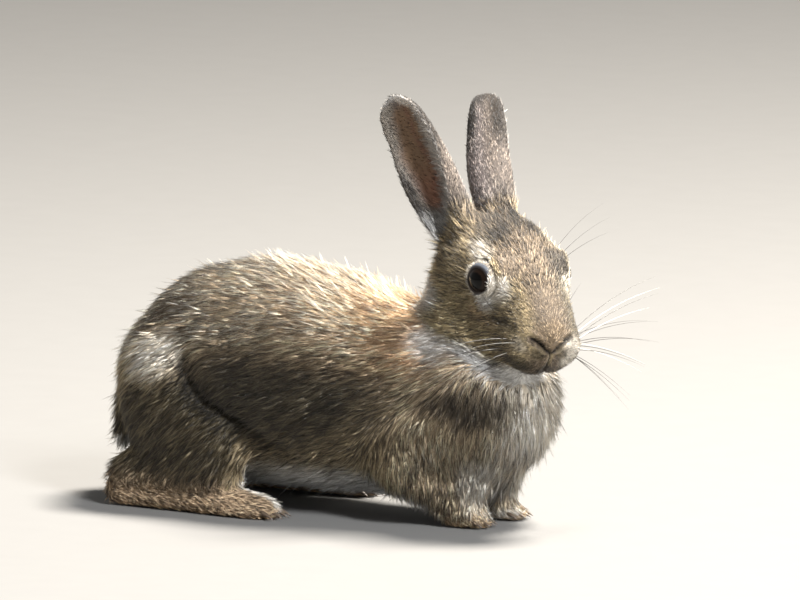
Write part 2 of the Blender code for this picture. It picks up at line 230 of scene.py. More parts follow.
class RabbitStage(bpy.types.PropertyGroup):
    """Camera, floor and light."""

    azimuth: FloatProperty(
        name="Azimuth", description="Turn of the camera round the rabbit",
        subtype="ANGLE", default=math.radians(32),
    )
    elevation: FloatProperty(
        name="Elevation", description="Height of the camera",
        subtype="ANGLE", default=math.radians(8),
    )
    distance: FloatProperty(
        name="Distance", description="Camera to rabbit",
        subtype="DISTANCE", unit="LENGTH", default=10.0,
    )
    view_width: FloatProperty(
        name="View width", description="Width that the camera takes in",
        subtype="DISTANCE", unit="LENGTH", default=0.352,
    )
    floor: colour_setting("Floor", "Floor colour", (0.135, 0.134, 0.130))
    key_power: FloatProperty(
        name="Key light", description="Power of the main light",
        subtype="POWER", unit="POWER", default=285.0,
    )
    sky: FloatProperty(
        name="Sky", description="Strength of the light from all round",
        default=0.38,
    )


# ---------------------------------------------------------------- helpers
def ramp(values, start, end):
    """Rises smoothly from 0 at start to 1 at end."""
    t = np.clip((values - start) / (end - start), 0, 1)
    return t * t * (3 - 2 * t)


def spot(points, centre, radii):
    """A soft spot: 1 at its centre, falling to 0 at its edge."""
    away = np.sqrt((((points - np.array(centre)) / np.array(radii)) ** 2).sum(axis=1))
    return 1 - ramp(away, 0.45, 1.0)


def mixed(a, b, share):
    """Rows of a with a share of b mixed into each."""
    share = share[:, None] if np.ndim(a) > 1 or np.ndim(b) > 0 else share
    return a * (1 - share) + np.asarray(b) * share


def blend(a, b, share):
    """One colour with a share of another mixed in."""
    return a * (1 - share) + b * share


def normalised(vectors):
    """Each row brought to a length of 1."""
    return vectors / np.maximum(np.linalg.norm(vectors, axis=1, keepdims=True), 1e-9)


def grain(points, size, seed):
    """Smooth noise from 0 to 1, with features about size across."""
    cell = np.floor(points / size).astype(np.int64)
    part = points / size - cell
    part = part * part * (3 - 2 * part)
    total = np.zeros(len(points))
    for corner in np.ndindex(2, 2, 2):
        key = (cell + corner) * (73856093, 19349663, 83492791)
        key = key[:, 0] ^ key[:, 1] ^ key[:, 2] ^ (seed * 97531)
        key = ((key ^ (key >> 13)) * 1274126177) & 0xFFFFFFFF
        value = ((key ^ (key >> 15)) & 0xFFFF) / 65535
        weight = np.prod(np.where(corner, part, 1 - part), axis=1)
        total += value * weight
    return total


def put_in_scene(name, mesh, material, replaced=()):
    """Links a finished mesh as a piece that rides with the body."""
    piece = bpy.data.objects.new(name, mesh)
    bpy.context.scene.collection.objects.link(piece)
    mesh.materials.clear()
    mesh.materials.append(material)
    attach(piece, "root")
    if replaced:
        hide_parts(*replaced)
    return piece


def each_once(items):
    """The items without repeats, in the order in which they come, which is the same every run."""
    return list(dict.fromkeys(items))


def mesh_from(bm, name):
    """The finished bmesh as a smooth mesh."""
    mesh = bpy.data.meshes.new(name)
    bm.to_mesh(mesh)
    bm.free()
    mesh.polygons.foreach_set("use_smooth", np.full(len(mesh.polygons), True))
    return mesh


def reshaped(mesh, kind, settings, group=None):
    """A new mesh made from a mesh by one modifier, which may be kept to a group of its points."""
    worked = bpy.data.objects.new("worked", mesh)
    bpy.context.scene.collection.objects.link(worked)
    modifier = worked.modifiers.new("shape", kind)
    if group is not None:
        chosen = worked.vertex_groups.new(name="chosen")
        chosen.add(np.flatnonzero(group).tolist(), 1.0, "REPLACE")
        modifier.vertex_group = chosen.name
    for name, value in settings.items():
        setattr(modifier, name, value)
    bpy.context.view_layer.update()
    graph = bpy.context.evaluated_depsgraph_get()
    made = bpy.data.meshes.new_from_object(worked.evaluated_get(graph))
    bpy.data.objects.remove(worked)
    return made


def points_of(mesh):
    """A mesh's points in millimetres."""
    flat = np.empty(len(mesh.vertices) * 3, np.float32)
    mesh.vertices.foreach_get("co", flat)
    return flat.reshape(-1, 3).astype(float) / MM


def set_points(mesh, points):
    """Moves the vertices to points given in millimetres."""
    mesh.vertices.foreach_set("co", (points * MM).astype(np.float32).ravel())
    mesh.update()


def normals_of(mesh):
    """The way out of the surface at each vertex."""
    flat = np.empty(len(mesh.vertices) * 3, np.float32)
    mesh.vertex_normals.foreach_get("vector", flat)
    return flat.reshape(-1, 3).astype(float)


def edges_of(mesh):
    """The two vertices of each edge."""
    flat = np.empty(len(mesh.edges) * 2, np.int32)
    mesh.edges.foreach_get("vertices", flat)
    return flat.reshape(-1, 2)


def relaxed(values, edges, rounds, strength):
    """Evens out values over a mesh: each one moves towards the mean of its neighbours."""
    count = len(values)
    a, b = edges[:, 0], edges[:, 1]
    degree = np.maximum(np.bincount(edges.ravel(), minlength=count), 1)[:, None]
    strength = np.broadcast_to(strength, count)[:, None]
    for _ in range(rounds):
        near = np.stack(
            [np.bincount(a, v[b], count) + np.bincount(b, v[a], count) for v in values.T], axis=1
        )
        values = values + strength * (near / degree - values)
    return values


def store(mesh, name, values):
    """Keeps one colour, vector or number for each vertex of a mesh."""
    kind = {3: "FLOAT_VECTOR", 4: "FLOAT_COLOR"}[values.shape[1]]
    kept = mesh.attributes.new(name, kind, "POINT")
    field = "vector" if kind == "FLOAT_VECTOR" else "color"
    kept.data.foreach_set(field, values.astype(np.float32).ravel())


def stored(mesh, name):
    """What store() kept under a name."""
    kept = mesh.attributes[name]
    width = 3 if kept.data_type == "FLOAT_VECTOR" else 4
    flat = np.empty(len(mesh.vertices) * width, np.float32)
    kept.data.foreach_get("vector" if width == 3 else "color", flat)
    return flat.reshape(-1, width).astype(float)


# ---------------------------------------------------------------- materials
def new_material(name):
    """A material with its Principled shader and a helper that adds linked nodes."""
    made = bpy.data.materials.new(name)
    made.use_nodes = True
    tree = made.node_tree
    shader = tree.nodes["Principled BSDF"]

    def add(kind, links=(), **values):
        node = tree.nodes.new(kind)
        for key, value in values.items():
            setattr(node, key, value)
        for socket, source in links:
            if isinstance(source, bpy.types.NodeSocket):
                tree.links.new(source, node.inputs[socket])
            else:
                node.inputs[socket].default_value = source
        return node

    def link(source, socket):
        tree.links.new(source, shader.inputs[socket])

    return made, shader, add, link


def noise_from(add, vector, scale, detail):
    """A noise node that reads a vector, with features of about 1 / scale metres."""
    return add("ShaderNodeTexNoise", [("Vector", vector), ("Scale", scale), ("Detail", detail)])


def coat_material(name, bump_size, bump_height):
    """Hair or skin that takes its markings from the coat_colour attribute."""
    made, shader, add, link = new_material(name)
    marks = add("ShaderNodeAttribute", attribute_name="coat_colour")
    place = add("ShaderNodeTexCoord")
    fine = noise_from(add, place.outputs["Object"], 1 / bump_size, 3.0)
    shade = add("ShaderNodeMapRange", [("Value", fine.outputs["Fac"]), ("To Min", 0.78), ("To Max", 1.2)])
    tint = add(
        "ShaderNodeMix",
        [("Factor", 1.0), ("A", marks.outputs["Color"]), ("B", shade.outputs["Result"])],
        data_type="RGBA",
        blend_type="MULTIPLY",
    )
    rough = add("ShaderNodeMapRange", [("Value", fine.outputs["Fac"]), ("To Min", 0.5), ("To Max", 0.68)])
    link(tint.outputs["Result"], "Base Color")
    link(rough.outputs["Result"], "Roughness")
    if bump_height:
        bump = add(
            "ShaderNodeBump",
            [("Height", fine.outputs["Fac"]), ("Distance", bump_height), ("Strength", 0.6)],
        )
        link(bump.outputs["Normal"], "Normal")
    shader.inputs["Specular IOR Level"].default_value = 0.22
    shader.inputs["Sheen Weight"].default_value = 0.08
    shader.inputs["Sheen Roughness"].default_value = 0.45
    return made


def plain_material(name, colour, roughness, shares=(0.6, 1.3), grain_scale=700.0, detail=2.0):
    """One colour, mottled a little between two shares of it."""
    made, shader, add, link = new_material(name)
    place = add("ShaderNodeTexCoord")
    noise = noise_from(add, place.outputs["Object"], grain_scale, detail)
    tone = add("ShaderNodeValToRGB", [("Fac", noise.outputs["Fac"])])
    for stop, share in zip(tone.color_ramp.elements, shares):
        stop.color = (*np.minimum(np.array(colour) * share, 1), 1)
    link(tone.outputs["Color"], "Base Color")
    shader.inputs["Roughness"].default_value = roughness
    return made


# ---------------------------------------------------------------- skin
# The grid that the skin is melted on, in millimetres, and the share of its faces that is kept.
BODY_VOXEL = 1.35
SKIN_SHARE = 0.56

# For each kind of part: depth of the coat, length, lift in degrees and hair width.
COAT_OF_PART = {
    "trunk": (3.6, 10.0, 15, 0.26),
    "neck": (3.2, 9.0, 15, 0.25),
    "thigh": (3.2, 9.0, 14, 0.26),
    "tail": (3.4, 9.5, 20, 0.30),
    "hind_foot": (1.2, 5.0, 13, 0.25),
    "foreleg": (2.4, 8.0, 15, 0.27),
    "forepaw": (1.1, 4.2, 13, 0.23),
    "head": (1.6, 5.6, 13, 0.20),
    "ear": (0.45, 2.6, 9, 0.15),
}


def kind_of(node):
    """A node's name without its side."""
    return node.replace("_left", "").replace("_right", "")


def joined_flesh():
    """Copies of the flesh nodes in one mesh, with each face's node."""
    bm = bmesh.new()
    owners = []
    for index, node in enumerate(FLESH):
        bm.from_mesh(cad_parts[node].data)
        owners += [index] * (len(bm.faces) - len(owners))
    mesh = mesh_from(bm, "flesh")
    mesh.calc_loop_triangles()
    corners = np.empty(len(mesh.vertices) * 3, np.float32)
    mesh.vertices.foreach_get("co", corners)
    faces = [tuple(polygon.vertices) for polygon in mesh.polygons]
    tree = BVHTree.FromPolygons([Vector(c) for c in corners.reshape(-1, 3)], faces)
    return mesh, tree, np.array(owners)


def parts_at(points, tree, owners):
    """The index in FLESH of the node nearest to each point."""
    return np.array([owners[tree.find_nearest(Vector(p) * MM)[2]] for p in points])


def is_kind(parts, *kinds):
    """Which of the parts are of these kinds."""
    wanted = [i for i, node in enumerate(FLESH) if kind_of(node) in kinds]
    return np.isin(parts, wanted)


def by_kind(parts, column):
    """One column of the coat's table for each part."""
    table = np.array([COAT_OF_PART[kind_of(node)][column] for node in FLESH], float)
    return table[parts]


def eye_distance(H):
    """How far each point, in the head's axes, is from the nearer eye, seen from the side."""
    return np.hypot(H[:, 0] - 2.0, H[:, 2] - 0.6)


def eye_angle(H):
    """Degrees between each point and the nearer eye's axis, seen from the eye's centre, how far it
    is from that centre, and how much it lies above the axis rather than beside it."""
    side = np.where(H[:, 1] < 0, -1.0, 1.0)
    gap = H - np.outer(side, (0, EYE_HALF, 0))
    out = np.column_stack([np.ones(len(H)), side, np.ones(len(H))]) * unit(EYE_WAY)
    reach = np.linalg.norm(gap, axis=1)
    forward = (gap * out).sum(axis=1)
    beside = np.linalg.norm(gap - out * forward[:, None], axis=1)
    rise = (gap[:, 2] - out[:, 2] * forward) / np.maximum(beside, 1e-6)
    return np.degrees(np.arctan2(beside, forward)), reach, rise


def head_coat(H, values):
    """Depth, length, lift and width of the coat over the head, from nose to crown."""
    depth, length, lift, width = values
    muzzle = ramp(H[:, 0], 10, 28)
    bridge = ramp(H[:, 2], -6, 6) * ramp(H[:, 0], -6, 6)
    near_eye = 1 - ramp(eye_distance(H), 8, 14)
    jaw = ramp(-H[:, 2], 24, 38) * (1 - muzzle)
    rear = ramp(-H[:, 0], 12, 34)
    depth = depth + 1.3 * jaw + 1.4 * rear - 0.7 * muzzle - 0.4 * bridge - 0.6 * near_eye
    length = length + 1.6 * jaw + 3.0 * rear - 3.5 * muzzle - 1.2 * bridge - 2.6 * near_eye
    lift = lift + 3 * rear + 2 * bridge
    width = width + 0.06 * rear + 0.03 * jaw - 0.07 * muzzle - 0.03 * near_eye
    return np.maximum(depth, 0.35), np.maximum(length, 1.5), lift, np.maximum(width, 0.12)


def lie_of_coat(P, N, H, parts):
    """The way that the hair runs, before it is laid on the skin."""
    side = np.sign(P[:, 1])
    flow = np.tile((-1.0, 0.0, -0.32), (len(P), 1))
    flow = mixed(flow, (-0.45, 0.0, -1.0), ramp(-P[:, 0], 62, 112))
    flow = mixed(flow, (-0.10, 0.0, -1.0), ramp(P[:, 0], 40, 84) * ramp(-P[:, 2], -95, -70))
    flow = mixed(flow, (-1.0, 0.0, 0.0), ramp(-N[:, 2], 0.5, 0.9))
    for kind, way in (
        ("thigh", (-0.62, 0, -0.78)),
        ("tail", (-0.35, 0, -1)),
        ("foreleg", (0.05, 0, -1)),
        ("hind_foot", (1, 0, -0.1)),
        ("forepaw", (1, 0, -0.3)),
        ("neck", (-0.9, 0, -0.45)),
    ):
        flow[is_kind(parts, kind)] = way
    flow[:, 1] += 0.10 * side

    head = is_kind(parts, "head")
    h, hside = H[head], np.sign(H[head, 1])
    normal = N[head] @ HEAD_AXES.T
    run = np.tile((-1.0, 0.0, -0.08), (len(h), 1))
    run[:, 1] += 0.12 * hside
    cheek = ramp(-h[:, 2], -2, 18) * ramp(np.abs(normal[:, 1]), 0.2, 0.7)
    run = mixed(run, (-0.9, 0.0, -0.45), cheek)
    pad = ramp(h[:, 0], 16, 30) * ramp(-h[:, 2], 8, 16)
    run = mixed(run, np.stack([np.full(len(h), -0.7), 0.6 * hside, np.full(len(h), -0.4)], axis=1), pad)
    run = mixed(run, (-1.0, 0.0, 0.0), ramp(-normal[:, 2], 0.5, 0.9))
    ahead_of_eye = (1 - ramp(eye_distance(h), 8, 14)) * ramp(h[:, 0], -6, 4)
    run[:, 2] += 1.1 * ahead_of_eye * np.sign(h[:, 2])
    crown = ramp(-h[:, 0], 16, 36) * ramp(h[:, 2], 0, 12)
    run = mixed(run, (-0.8, 0.0, 0.4), crown)
    flow[head] = run @ HEAD_AXES

    for name in SIDES:
        here = parts == FLESH.index(f"ear_{name}")
        _, across, inside, over = ear_place(P[here], N[here], name)
        within = np.where(across > 0.3, 0.45 - 0.5 * ramp(across, 0.6, 0.85), 1.2)
        sweep = np.where(inside, within, 0.15 * across)
        flow[here] = ear_axes(name)[1] + sweep[:, None] * over
    return flow


# The nostril, lip and mouth lines on the front of the muzzle, as (across, up) in the head's axes.
NOSTRIL_LINE = [(0.0, -17.4), (2.0, -15.8), (4.2, -13.8), (6.3, -12.3), (8.2, -11.8)]
PHILTRUM_LINE = [(0.0, -17.4), (0.0, -23.5), (0.0, -30.0)]
MOUTH_LINE = [(0.0, -30.0), (3.0, -31.4), (6.5, -32.2), (10.0, -32.2), (13.0, -31.0)]

# The furrow above the whisker pads, as (ahead, up) in the head's axes.
WHISKER_FURROW = [(8.0, -15.0), (14.0, -12.5), (20.0, -11.5), (25.0, -11.0)]


def line_distance(points, line):
    """Distance in the plane from points to a line of straight stretches, and how far along it is."""
    best = np.full(len(points), 1e9)
    along = np.zeros(len(points))
    line = np.array(line, float)
    for i, (a, b) in enumerate(zip(line, line[1:])):
        t = np.clip(((points - a) @ (b - a)) / np.dot(b - a, b - a), 0, 1)
        gap = np.linalg.norm(points - (a + t[:, None] * (b - a)), axis=1)
        nearer = gap < best
        best[nearer] = gap[nearer]
        along[nearer] = (i + t[nearer]) / (len(line) - 1)
    return best, along


def front_lines(H):
    """Distances to the nostril, philtrum and mouth lines, far away for points off the muzzle."""
    flat = np.stack([np.abs(H[:, 1]), H[:, 2]], axis=1)
    off = np.where(H[:, 0] > 18, 0.0, 99.0)
    found = {}
    for name, line in (("nostril", NOSTRIL_LINE), ("philtrum", PHILTRUM_LINE), ("mouth", MOUTH_LINE)):
        gap, along = line_distance(flat, line)
        found[name] = gap + off
        found[name + "_along"] = along
    return found


def carved(P, N, H):
    """The skin with its nostrils, split lip and mouth pressed in and their rims raised."""
    lines = front_lines(H)
    nostril_open = ramp(lines["nostril_along"], 0.1, 0.4) * (1 - 0.6 * ramp(lines["nostril_along"], 0.7, 1))
    push = np.zeros(len(P))
    push -= (0.8 + 1.7 * nostril_open) * np.exp(-((lines["nostril"] / 0.95) ** 2))
    push += 0.6 * np.exp(-(((lines["nostril"] - 2.3) / 1.1) ** 2)) * (H[:, 2] > NOSTRIL_LINE[0][1])
    push -= 1.0 * np.exp(-((lines["philtrum"] / 0.7) ** 2))
    push -= 1.6 * np.exp(-((lines["mouth"] / 1.2) ** 2)) * (1 - ramp(lines["mouth_along"], 0.4, 0.9))
    angle, reach, _ = eye_angle(H)
    before_eye = ramp(angle, 52, 70) * ramp(H[:, 0], -3, 3)
    push += 1.5 * np.exp(-(((reach - EYE_RADIUS - 1.0) / 3.6) ** 2)) * before_eye
    furrow = line_distance(H[:, ::2], WHISKER_FURROW)[0]
    push -= 1.0 * np.exp(-((furrow / 1.8) ** 2)) * ramp(np.abs(H[:, 1]), 8, 12)
    return P + N * push[:, None]


# The crease where the flank lies over the thigh, as (along the body, up).
THIGH_CREASE = [(-66, 76), (-62, 67), (-58, 59), (-50, 51), (-34, 43), (-16, 34), (2, 24)]


def crease_distance(P):
    """How far each point is from the thigh's crease, above or ahead of it as positive, and how
    deep the crease is there."""
    gap, along = line_distance(P[:, ::2], THIGH_CREASE)
    line = np.array(THIGH_CREASE, float)
    height = np.interp(P[:, 0], line[:, 0], line[:, 1])
    ahead = np.where((P[:, 2] > height) & (P[:, 0] > line[0, 0]) | (P[:, 0] > line[-1, 0]), 1.0, -1.0)
    deep = ramp(along, 0.0, 0.2) * (1 - ramp(along, 0.65, 1.0)) * ramp(np.abs(P[:, 1]), 20, 32)
    return gap * ahead, deep


def creased(P, N, parts):
    """The skin with the flank's edge drawn out over the thigh."""
    gap, deep = crease_distance(P)
    push = 2.2 * ramp(gap, 0, 5) * (1 - ramp(gap, 10, 30)) - 2.6 * np.exp(-((gap / 2.6) ** 2))
    push *= deep * is_kind(parts, "trunk", "thigh", "hind_foot")
    return P + N * push[:, None]


# Half angle of the eyes' opening, in degrees.
LID_ANGLE = 44.0


def bare_to(H, rise):
    """The angle up to which the lids are bare: a wider band over the rear of each eye."""
    return LID_ANGLE + 4 + 12 * ramp(rise, 0.3, 0.8) * ramp(-H[:, 0], -9, -4)


def lid_opening(turn):
    """Half angle of the eye's opening, seen from its centre, at a turn from the front corner."""
    ahead, up = math.cos(turn), math.sin(turn)
    corner = 7.0 * max(0.0, ahead) ** 6 + 2.0 * max(0.0, -ahead) ** 6
    return math.radians(LID_ANGLE + corner + (1.0 if up < 0 else 0.0))


def eye_matrix(name):
    """The place of an eye, with its local Z out of the head and its local X to the front corner."""
    side = SIDES[name]
    out = unit(np.array(EYE_WAY) * (1, side, 1)) @ HEAD_AXES
    front = HEAD_AHEAD - out * np.dot(HEAD_AHEAD, out)
    front = unit(front - HEAD_UP * 0.25)
    front = unit(front - out * np.dot(front, out))
    third = np.cross(out, front)
    turn = Matrix([list(row) for row in np.stack([front, third, out], axis=1)])
    return Matrix.Translation(EYE_CENTRES[name]) @ turn.to_4x4()


# Across a lid, from its edge on the eyeball outwards: angle past the opening in degrees, and
# height over the eyeball in millimetres.  The last four lie under the skin and close it.
LID_SECTION = [
    (-1.5, 0.05), (-1.2, 0.30), (0.6, 0.60), (3.5, 0.85), (8.0, 1.00), (14.0, 0.95), (22.0, 0.80),
    (32.0, 0.50), (44.0, 0.10), (40.0, -0.60), (20.0, -0.70), (7.0, -0.70), (0.0, -0.55),
]


def eyelid(name):
    """A lid as a ring turned round the eye's axis and drawn to the shape of the opening."""
    bm = bmesh.new()
    section = []
    for angle, height in LID_SECTION:
        away = math.radians(LID_ANGLE + angle)
        reach = (EYE_RADIUS + height) * MM
        section.append(bm.verts.new((reach * math.sin(away), 0, reach * math.cos(away))))
    for a, b in zip(section, section[1:] + section[:1]):
        bm.edges.new((a, b))
    bmesh.ops.spin(
        bm, geom=bm.verts[:] + bm.edges[:], cent=(0, 0, 0), axis=(0, 0, 1),
        angle=2 * math.pi, steps=64, use_merge=True,
    )
    up_is_left = SIDES[name]
    for vert in bm.verts:
        reach = vert.co.length
        away = math.acos(vert.co.z / reach)
        turn = math.atan2(vert.co.y * up_is_left, vert.co.x)
        away += lid_opening(turn) - math.radians(LID_ANGLE)
        level = math.hypot(vert.co.x, vert.co.y)
        sideways = Vector((vert.co.x, vert.co.y, 0)) / level * reach * math.sin(away)
        vert.co = (sideways.x, sideways.y, reach * math.cos(away))
    bmesh.ops.recalc_face_normals(bm, faces=bm.faces[:])
    bmesh.ops.transform(bm, matrix=eye_matrix(name), verts=bm.verts[:])
    return mesh_from(bm, f"eyelid_{name}")


def refined(mesh):
    """Cuts the faces round the eyes, nose and mouth smaller, for their folds."""
    bm = bmesh.new()
    bm.from_mesh(mesh)
    for cuts in range(2):
        wanted = []
        for face in bm.faces:
            x, y, z = (np.array(face.calc_center_median()) / MM - HEAD_AT) @ HEAD_AXES.T
            nose = x > 24 and z < -6 and abs(y) < 15
            lips = x > 16 and z < -24
            eye = math.hypot(x - 0.5, z) < 10.5 and abs(abs(y) - EYE_HALF) < 12
            if nose or lips or (eye and cuts == 0):
                wanted.append(face)
        edges = each_once(edge for face in wanted for edge in face.edges)
        bmesh.ops.subdivide_edges(bm, edges=edges, cuts=1, use_grid_fill=True)
    big = [face for face in bm.faces if len(face.verts) > 4]
    bmesh.ops.triangulate(bm, faces=big)
    return mesh_from(bm, "skin")


def tuft_sizes(P, N, H, parts, settings):
    """Length, lift and hair width of the tufts at each point."""
    values = [by_kind(parts, c) for c in range(4)]
    trunk = is_kind(parts, "trunk")
    values[1] = np.where(trunk, settings.back_length, values[1])
    values[1] = values[1] + (settings.chest_length - settings.back_length) * trunk * ramp(P[:, 0], 45, 90)
    gap, deep = crease_distance(P)
    in_crease = deep * np.exp(-((gap / 5.0) ** 2)) * is_kind(parts, "trunk", "thigh", "hind_foot")
    values[1] = values[1] * (1 - 0.45 * in_crease)
    head = is_kind(parts, "head")
    on_head = np.stack(head_coat(H, values), axis=1)
    tuft = np.where(head[:, None], on_head, np.stack(values, axis=1))[:, 1:]
    for name in SIDES:
        here = np.flatnonzero(parts == FLESH.index(f"ear_{name}"))
        t, across, inside, _ = ear_place(P[here], N[here], name)
        _, front, rear = ear_zones(t, across, inside)
        low = 1 - ramp(t, 0.75, 0.95)
        rear = rear * (1 - ramp(across, 0.6, 0.8) * ramp(t, 0.45, 0.6))
        tuft[here, 0] += (2.4 * front + 1.4 * rear) * low + 2.0 * (1 - ramp(t, 0.08, 0.3))
        tuft[here, 0] *= 1 - 0.35 * ramp(t, 0.8, 0.95)
        tuft[here, 1] += 6 * front * low
    return tuft


def shaped_skin(flesh, tree, owners):
    """The skin without its lids: melted, sunk by the coat's depth, creased and carved."""
    mesh = reshaped(flesh, "REMESH", {"mode": "VOXEL", "voxel_size": BODY_VOXEL * MM})
    P, edges = points_of(mesh), edges_of(mesh)
    parts = parts_at(P, tree, owners)
    ear, head = is_kind(parts, "ear"), is_kind(parts, "head")
    thin = ear | is_kind(parts, "forepaw", "hind_foot")
    softness = relaxed(np.where(thin, 0.12, np.where(head, 0.3, 0.5))[:, None], edges, 4, 0.5)[:, 0]
    P = relaxed(P, edges, 24, softness)
    set_points(mesh, P)
    H = to_head(P)
    depth = by_kind(parts, 0)
    on_head = np.stack(head_coat(H, [by_kind(parts, c) for c in range(4)]), axis=1)
    depth = np.where(head, on_head[:, 0], depth)
    depth = relaxed(depth[:, None], edges, 20, np.where(ear, 0.2, 0.5))[:, 0]
    P = P - normals_of(mesh) * depth[:, None]
    P = relaxed(P, edges, 6, softness)
    set_points(mesh, P)
    P = creased(P, normals_of(mesh), parts)
    set_points(mesh, P)

    coated = ~is_kind(parts, "head", "ear")
    mesh = reshaped(mesh, "DECIMATE", {"ratio": SKIN_SHARE, "vertex_group_factor": 1000.0}, coated)
    mesh = refined(mesh)
    P, edges = points_of(mesh), edges_of(mesh)
    H = to_head(P)
    fine = (H[:, 0] > 15) & (H[:, 2] < -4)
    P = relaxed(P, edges, 6, np.where(fine, 0.4, 0.0))
    set_points(mesh, P)
    P = carved(P, normals_of(mesh), to_head(P))
    set_points(mesh, P)
    return mesh


def build_skin(settings, colours):
    """The skin with its lids, and on its points all that the coat is grown from."""
    flesh, tree, owners = joined_flesh()
    bm = bmesh.new()
    bm.from_mesh(shaped_skin(flesh, tree, owners))
    bare_from = len(bm.verts)
    for name in SIDES:
        bm.from_mesh(eyelid(name))
    mesh = mesh_from(bm, "skin")
    P, N, edges = points_of(mesh), normals_of(mesh), edges_of(mesh)
    H = to_head(P)
    parts = parts_at(P, tree, owners)
    angle, reach, rise = eye_angle(H)
    lid = np.arange(len(P)) >= bare_from
    bare = lid & ((angle < bare_to(H, rise)) | (reach < EYE_RADIUS + 0.35) | (angle > LID_ANGLE + 32))

    tuft = relaxed(tuft_sizes(P, N, H, parts, settings), edges, 12, 0.5)
    flow = normalised(relaxed(lie_of_coat(P, N, H, parts), edges, 12, 0.5))
    colour, ticking, density = markings(P, N, H, parts, colours)
    colour = relaxed(colour, edges, 1, 0.5)
    density = np.where(bare, 0, density)
    over_rim = ramp(angle, LID_ANGLE + 3, LID_ANGLE + 7)
    lid_colour = mixed(np.array(colours.lid_skin), colours.upper_lid, over_rim)
    colour[bare] = lid_colour[bare]
    store(mesh, "lie", flow)
    store(mesh, "tuft", tuft)
    store(mesh, "ticking", np.column_stack([ticking, density]))
    store(mesh, "main_colour", np.column_stack([colour, parts + 1.0]))
    # Under the coat the skin takes the coat's colour darkened, more so round the eyes, partly for the dark
    # under-fur and partly as painted shade in the coat's depths; bare lids keep theirs.
    under_coat_dark_and_shade = np.where(bare, 1.0, np.where(reach < 12, 0.4, 0.62))[:, None]
    store(mesh, "coat_colour", np.column_stack([colour * under_coat_dark_and_shade, np.ones(len(P))]))
    return mesh


# ---------------------------------------------------------------- markings
def markings(P, N, H, parts, colours):
    """Colour of the hair's visible part, the shares of black and pale tufts, and the density."""
    c = {name: np.array(getattr(colours, name)) for name in colours.__annotations__}
    density = np.ones(len(P))
    colour, black, pale = trunk_markings(P, N, H, parts, c)
    paint_legs(P, N, parts, c, colour, black)
    head = is_kind(parts, "head")
    found = head_markings(H[head], N[head] @ HEAD_AXES.T, c)
    colour[head], black[head], pale[head], density[head] = found
    for name in SIDES:
        here = parts == FLESH.index(f"ear_{name}")
        colour[here], black[here], pale[here], density[here] = ear_markings(P[here], N[here], name, c)
    return colour, np.column_stack([np.clip(black, 0, 1), np.clip(pale, 0, 1)]), density


def mirrored(points):
    """Points with both sides of the animal laid on its left."""
    return np.stack([points[:, 0], np.abs(points[:, 1]), points[:, 2]], axis=1)


def trunk_markings(P, N, H, parts, c):
    """Tan above and grey brown down the flanks, mottled with dark spots on the rump. The flanks and
    haunches are darker still, partly their own colour and partly painted shade; there is painted shade
    under the jaw and in the thigh's crease, and a painted highlight on top of each thigh.
    """
    both = mirrored(P)
    colour = np.tile(c["tan"], (len(P), 1))
    black = np.full(len(P), 0.30)
    pale = np.full(len(P), 0.26)
    # Lower down the coat turns grey brown, and the flanks and haunches darker still: partly the coat's own
    # colour, partly painted shade.
    low = ramp(-P[:, 2], -92, -52)
    colour = mixed(colour, c["grey"], 0.9 * low * (1 - 0.5 * ramp(P[:, 0], 24, 60)))
    flank_dark_and_shade = ramp(-P[:, 2], -84, -66) * spot(both, (-10, 48, 62), (64, 60, 40))
    colour = mixed(colour, c["grey"] * 0.18, 0.88 * flank_dark_and_shade)
    haunch_dark_and_shade = is_kind(parts, "thigh", "hind_foot") * ramp(-P[:, 2], -64, -52)
    colour = mixed(colour, c["grey"] * 0.36, 0.85 * haunch_dark_and_shade)
    black += 0.08 * low
    rump = ramp(-P[:, 0], 44, 78) * ramp(P[:, 2], 66, 86) * (1 - ramp(np.abs(P[:, 1]), 44, 56))
    blots = rump * ramp(grain(P, 8.0, 3), 0.44, 0.58)
    black += 0.9 * blots
    colour = mixed(colour, c["rust"] * 0.6, 0.7 * rump * ramp(grain(P, 5.0, 9), 0.5, 0.65))
    # Painted highlight: a cream patch on top of each thigh, with fewer dark tufts.
    patch = spot(both, (-76, 40, 71), (17, 20, 15))
    colour = mixed(colour, c["cream"], 0.85 * patch)
    black *= 1 - 0.7 * patch
    nape = spot(P, (46, -8, 88), (46, 44, 34))
    colour = mixed(colour, c["rust"] * (1.0, 0.86, 0.76), 0.85 * nape)
    black *= 1 - 0.8 * nape
    pale *= 1 - 0.6 * nape
    shoulder = spot(P, (14, -8, 92), (52, 60, 36))
    colour = mixed(colour, blend(c["rust"], c["tan"], 0.5), 0.6 * shoulder)
    breast = ramp(P[:, 0], 62, 98)
    colour = mixed(colour, blend(c["tan"], c["grey"], 0.6), 0.5 * breast * low)
    belly = ramp(-N[:, 2], 0.45, 0.85) * ramp(-P[:, 2], -34, -14)
    colour = mixed(colour, c["white"] * 0.92, belly)
    black *= 1 - 0.9 * belly
    chest = ramp(P[:, 0], 82, 98) * ramp(P[:, 2], 6, 18)
    bib = np.maximum(chest, spot(both, (80, 20, 22), (18, 20, 20)))
    colour = mixed(colour, c["cream"] * 1.15, 0.9 * bib)
    black *= 1 - 0.7 * bib
    # Painted shadow under the jaw, laid on both sides.
    jaw_shadow = spot(both, (79, 28, 60), (28, 24, 11))
    colour = colour * (1 - 0.85 * jaw_shadow[:, None])
    collar = spot(mirrored(H), *COLLAR)
    colour = mixed(colour, c["white"], 0.9 * collar)
    black *= 1 - collar
    gap, deep = crease_distance(P)
    shadow = deep * np.exp(-((gap / 6.0) ** 2)) * is_kind(parts, "trunk", "thigh", "hind_foot")
    colour = colour * (1 - 0.92 * shadow[:, None])
    black += 0.5 * shadow
    cloud = 0.62 + 0.76 * grain(P, 13.0, 17)
    return colour * cloud[:, None], black, pale


